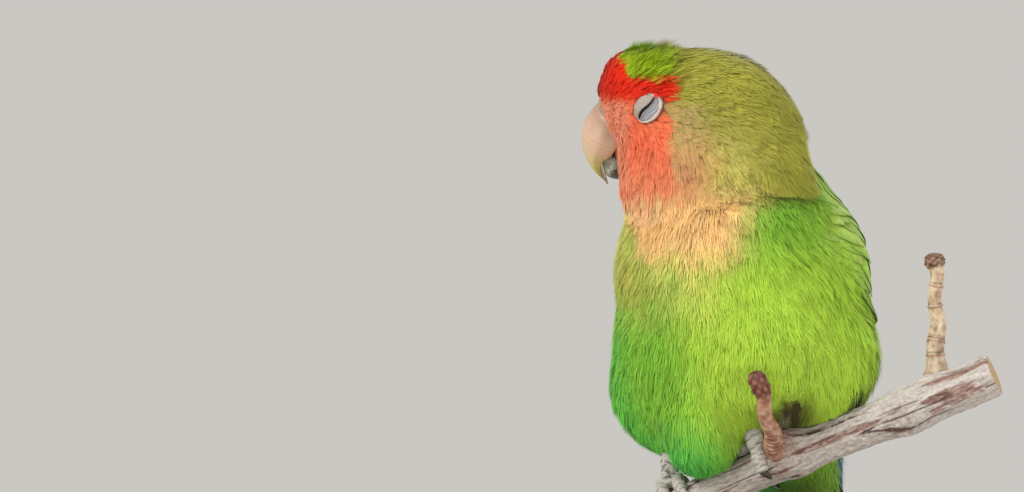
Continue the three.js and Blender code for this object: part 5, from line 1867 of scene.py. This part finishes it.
def twig_material(settings, name, tan):
    """Twig bark: thin and slightly waxy, red brown on the ring scars and the bud scales; its Shade value
    paints light and shade that follow the relief, and darkens the twig towards its foot.
    """
    material, tree = new_material(name)
    bud, shade = read_values(tree, "Bud", "Shade")
    spots = grains(tree, (1.613, 1.613, 1.613), Detail=4.0)
    red = settings.bud
    waxy = [(0.3, between(tan, red, 0.6)), (0.5, tan), (0.7, between(tan, linear("#ede1d3"), 0.5))]
    scaly = [(0.3, between(red, linear("#271919"), 0.4)), (0.7, between(red, tan, 0.45))]
    tone = node(tree, "ValToRGB", {"Fac": (spots, "Fac")}, waxy)
    scales = node(tree, "ValToRGB", {"Fac": (spots, "Fac")}, scaly)
    inputs = {AMOUNT: (bud, "Fac"), COLOUR_A: (tone, "Color"), COLOUR_B: (scales, "Color")}
    both = node(tree, "Mix", inputs, data_type="RGBA")
    # Shade above 0.5 is painted light on ridges, and below it painted shade
    shades = [(0.0, grey(0.3)), (0.5, grey(0.95)), (1.0, grey(1.15))]
    dim = node(tree, "ValToRGB", {"Fac": (shade, "Fac")}, shades)
    final = node(tree, "VectorMath", {0: (both, MIXED), 1: (dim, "Color")}, operation="MULTIPLY")
    surface(tree, (final, 0), 0.65, ((spots, "Fac"), 0.5, 0.15))
    return material


class LOVEBIRD_OT_perch(bpy.types.Operator):
    """The cut branch with its two twigs"""

    bl_idname = "lovebird.perch"
    bl_label = "Branch"

    def execute(self, context):
        settings = context.scene.lovebird_perch
        add_piece("branch", branch_shape(settings), bark_material(settings), ("perch",))
        ruddy = twig_material(settings, "twig bark, thin and waxy", settings.twig)
        bleached = twig_material(settings, "twig bark, bleached by the sun", settings.side_twig)
        front = twig_shape(TWIG_FRONT, (2.5, 1.65), 1.95, (0.3, 0.34, 0.38, 0.42, 0.47, 0.52), 0.2)
        side = twig_shape(TWIG_SIDE, (2.4, 1.6), 2.2, (0.25, 0.34, 0.36, 0.6, 0.75), 0.13)
        add_piece("twig_front", front, ruddy)
        add_piece("twig_side", side, bleached)
        return {"FINISHED"}


# The stand
BASE_RADII = (46, 37)
BASE_THICKNESS = 7
BASE_ROUND = 1.6
BASE_CHAMFER = 0.8
ROD_RADIUS = 2
ROD_PLACES = (-24, -5)


def base_shape(columns=160):
    """The oval base: a profile from the underside's middle out, up a rounded edge and back in."""
    corner = np.linspace(0, 1, 14) * np.pi / 2
    chamfer, edge = BASE_CHAMFER / BASE_RADII[0], BASE_ROUND / BASE_RADII[0]
    underside = np.linspace(0, 1 - chamfer, 12)[:-1]
    top = np.linspace(1 - edge, 0, 24)[1:]
    out = [underside, 1 - chamfer * (1 - np.sin(corner)), 1 - edge * (1 - np.cos(corner)), top]
    up = [
        0 * underside,
        BASE_CHAMFER * (1 - np.cos(corner)),
        BASE_THICKNESS - BASE_ROUND * (1 - np.sin(corner)),
        0 * top + BASE_THICKNESS,
    ]
    out, up = np.concatenate(out)[:, None], np.concatenate(up)[:, None]
    w = turns(columns)[None, :]
    long_way, short_way = BASE_RADII
    return closed(np.stack([long_way * out * np.cos(w), short_way * out * np.sin(w), up + 0 * w], -1))


def rod_shape(place, rows=40, columns=40):
    """A rod: a turned cylinder that flares to a small foot, up into the branch."""
    top = PERCH.at(place, 0, 0)
    low, high = BASE_THICKNESS, top[2] - 3.0
    height = mix(low, high, np.concatenate([[0, 0], np.linspace(0, 1, rows - 4), [1, 1]]))[:, None]
    radius = ROD_RADIUS * 0.95 + 1.3 * bell(height - low, 0.9)
    radius[0] = radius[-1] = 0
    w = turns(columns)[None, :]
    return closed(np.stack([top[0] + radius * np.cos(w), top[1] + radius * np.sin(w), height + 0 * w], -1))


def walnut_material(settings):
    """Walnut, planed, oiled and lightly waxed: long dark grain lines with a low satin gloss.

    Its figure is 71 mm long and 5 mm wide, its pores are 6 mm long and 0.4 mm wide.
    """
    material, tree = new_material("stand base, oiled walnut")
    grain = grains(tree, (71.43, 4.762, 4.762), Detail=6.0, Distortion=0.6)
    pore = grains(tree, (6.25, 0.3846, 0.3846), Detail=2.0)
    wood = settings.wood
    dark, light = between(wood, linear("#19100a"), 0.5), between(wood, linear("#956f50"), 0.4)
    tone = node(tree, "ValToRGB", {"Fac": (grain, "Fac")}, [(0.3, dark), (0.5, wood), (0.7, light)])
    dots = node(tree, "ValToRGB", {"Fac": (pore, "Fac")}, [(0.3, grey(0.6)), (0.45, grey(1.0))])
    final = node(tree, "VectorMath", {0: (tone, "Color"), 1: (dots, "Color")}, operation="MULTIPLY")
    gloss = node(tree, "MapRange", {"Value": (grain, "Fac"), "To Min": 0.32, "To Max": 0.5})
    surface(tree, (final, 0), (gloss, 0), ((pore, "Fac"), 0.2, 0.1))
    return material


def brass_material(settings):
    """Brass, turned and brushed round: rings 0.3 mm apart along the rod and a warm, soft gloss."""
    material, tree = new_material("stand rods, brushed brass")
    brushed = grains(tree, (25, 25, 0.33333), Detail=2.0)
    rough = node(tree, "MapRange", {"Value": (brushed, "Fac"), "To Min": 0.2, "To Max": 0.42})
    stops = [(0.3, between(settings.brass, linear("#7c5930"), 0.25)), (0.7, settings.brass)]
    tone = node(tree, "ValToRGB", {"Fac": (brushed, "Fac")}, stops)
    surface(tree, (tone, "Color"), (rough, 0), ((brushed, "Fac"), 0.15, 0.05), {"Metallic": 1.0})
    return material


class LOVEBIRD_OT_stand(bpy.types.Operator):
    """The display stand's oval base and two rods"""

    bl_idname = "lovebird.stand"
    bl_label = "Stand"

    def execute(self, context):
        settings = context.scene.lovebird_stage
        walnut, brass = walnut_material(settings), brass_material(settings)
        add_piece("stand_base_walnut", base_shape(), walnut, ("stand_base",))
        for i, place in enumerate(ROD_PLACES, 1):
            add_piece(f"stand_brass_rod_{i}", rod_shape(place), brass, (f"stand_rod_{i}",))
        return {"FINISHED"}


# The stage
class LOVEBIRD_OT_stage(bpy.types.Operator):
    """Pale floor, soft lights and the camera at the level of the bird"""

    bl_idname = "lovebird.stage"
    bl_label = "Stage"

    def execute(self, context):
        scene = context.scene
        settings = scene.lovebird_stage
        build("floor", floor_shape(), floor_material(settings), soft=False)
        for name, place, size in LIGHTS:
            add_light(scene, name, np.array(place), getattr(settings, name), size)
        scene.world = scene.world or bpy.data.worlds.new("world")
        scene.world.use_nodes = True
        sky = scene.world.node_tree.nodes["Background"]
        sky.inputs["Color"].default_value = opaque(linear("#e6e3de"))
        sky.inputs["Strength"].default_value = 0.75
        scene.view_settings.view_transform = "Standard"
        add_camera(scene)
        return {"FINISHED"}


# Each light's place and its side, in metres, and the place that all of them face
LIGHTS = (
    ("key", (-1.0, -0.9, 0.95), 0.7),
    ("fill", (1.1, -0.8, 0.55), 1.2),
    ("rim", (0.5, 0.9, 1.1), 0.8),
)
LIT_PLACE = np.array([-0.02, 0.0, 0.09])


def add_light(scene, name, place, power, size):
    """A square area light, turned to the lit place."""
    data = bpy.data.lights.new(f"{name} light", "AREA")
    data.energy = power
    data.size = size
    held = bpy.data.objects.new(f"{name} light", data)
    held.location = place
    aim = unit(LIT_PLACE - place)
    held.rotation_euler = (math.acos(-aim[2]), 0, math.atan2(aim[1], aim[0]) - math.pi / 2)
    held.visible_camera = False
    scene.collection.objects.link(held)


def add_camera(scene):
    """A camera square on to the photo's middle, whose width at the branch is the photo's."""
    camera = bpy.data.cameras.new("camera")
    camera.lens = camera.sensor_width * CAMERA_DISTANCE / FRAME_WIDTH
    camera.clip_end = 20
    held = bpy.data.objects.new("camera", camera)
    held.location = (FRAME_CENTRE[0], -CAMERA_DISTANCE, FRAME_CENTRE[1])
    held.rotation_euler = (math.pi / 2, 0, 0)
    scene.collection.objects.link(held)
    scene.camera = held


def floor_shape():
    """A flat disc: rings out over its upper side, down its edge and back in below, just under the stand."""
    angle = turns(96)[None, :]
    radius = FLOOR_RADIUS * np.array([0.0, 0.5, 1.0, 1.0, 0.5, 0.0])[:, None]
    height = np.array([0, 0, 0, -2, -2, -2])[:, None]
    return closed(np.stack([radius * np.cos(angle), radius * np.sin(angle), height + 0 * angle], -1))


def floor_material(settings):
    """Board, painted matt: a fine paper tooth 17 mm wide, coarse enough to show."""
    material, tree = new_material("floor, matt painted board")
    tooth = grains(tree, (16.67, 16.67, 16.67), Detail=4.0)
    stops = [(0.3, [0.97 * c for c in settings.floor]), (0.7, settings.floor)]
    tone = node(tree, "ValToRGB", {"Fac": (tooth, "Fac")}, stops)
    surface(tree, (tone, "Color"), 0.8)
    return material


class LOVEBIRD_PT_panel(bpy.types.Panel):
    """The settings of each group and a button for each operator"""

    bl_label = "Lovebird"
    bl_idname = "LOVEBIRD_PT_panel"
    bl_space_type = "VIEW_3D"
    bl_region_type = "UI"
    bl_category = "Lovebird"

    def draw(self, context):
        for group in GROUPS:
            holder = getattr(context.scene, group)
            for name in GROUPS[group].__annotations__:
                self.layout.prop(holder, name)
        for operator in OPERATORS:
            self.layout.operator(operator.bl_idname)


GROUPS = {
    "lovebird_plumage": LovebirdPlumage,
    "lovebird_bare": LovebirdBare,
    "lovebird_perch": LovebirdPerch,
    "lovebird_stage": LovebirdStage,
}
OPERATORS = (
    LOVEBIRD_OT_stage,
    LOVEBIRD_OT_plumage,
    LOVEBIRD_OT_wings,
    LOVEBIRD_OT_tail,
    LOVEBIRD_OT_bill,
    LOVEBIRD_OT_eyes,
    LOVEBIRD_OT_feet,
    LOVEBIRD_OT_perch,
    LOVEBIRD_OT_stand,
)


def register():
    """Makes the groups, the operators and the panel known to Blender."""
    for group in GROUPS.values():
        bpy.utils.register_class(group)
    for name, group in GROUPS.items():
        setattr(bpy.types.Scene, name, bpy.props.PointerProperty(type=group))
    for made in (*OPERATORS, LOVEBIRD_PT_panel):
        bpy.utils.register_class(made)


def unregister():
    """Takes the groups, the operators and the panel out of Blender."""
    for made in (LOVEBIRD_PT_panel, *reversed(OPERATORS)):
        bpy.utils.unregister_class(made)
    for name in GROUPS:
        delattr(bpy.types.Scene, name)
    for group in GROUPS.values():
        bpy.utils.unregister_class(group)


def main():
    register()
    bpy.ops.lovebird.stage()
    bpy.ops.lovebird.plumage()
    bpy.ops.lovebird.wings()
    bpy.ops.lovebird.tail()
    bpy.ops.lovebird.bill()
    bpy.ops.lovebird.eyes()
    bpy.ops.lovebird.feet()
    bpy.ops.lovebird.perch()
    bpy.ops.lovebird.stand()


if __name__ == "__main__":
    main()
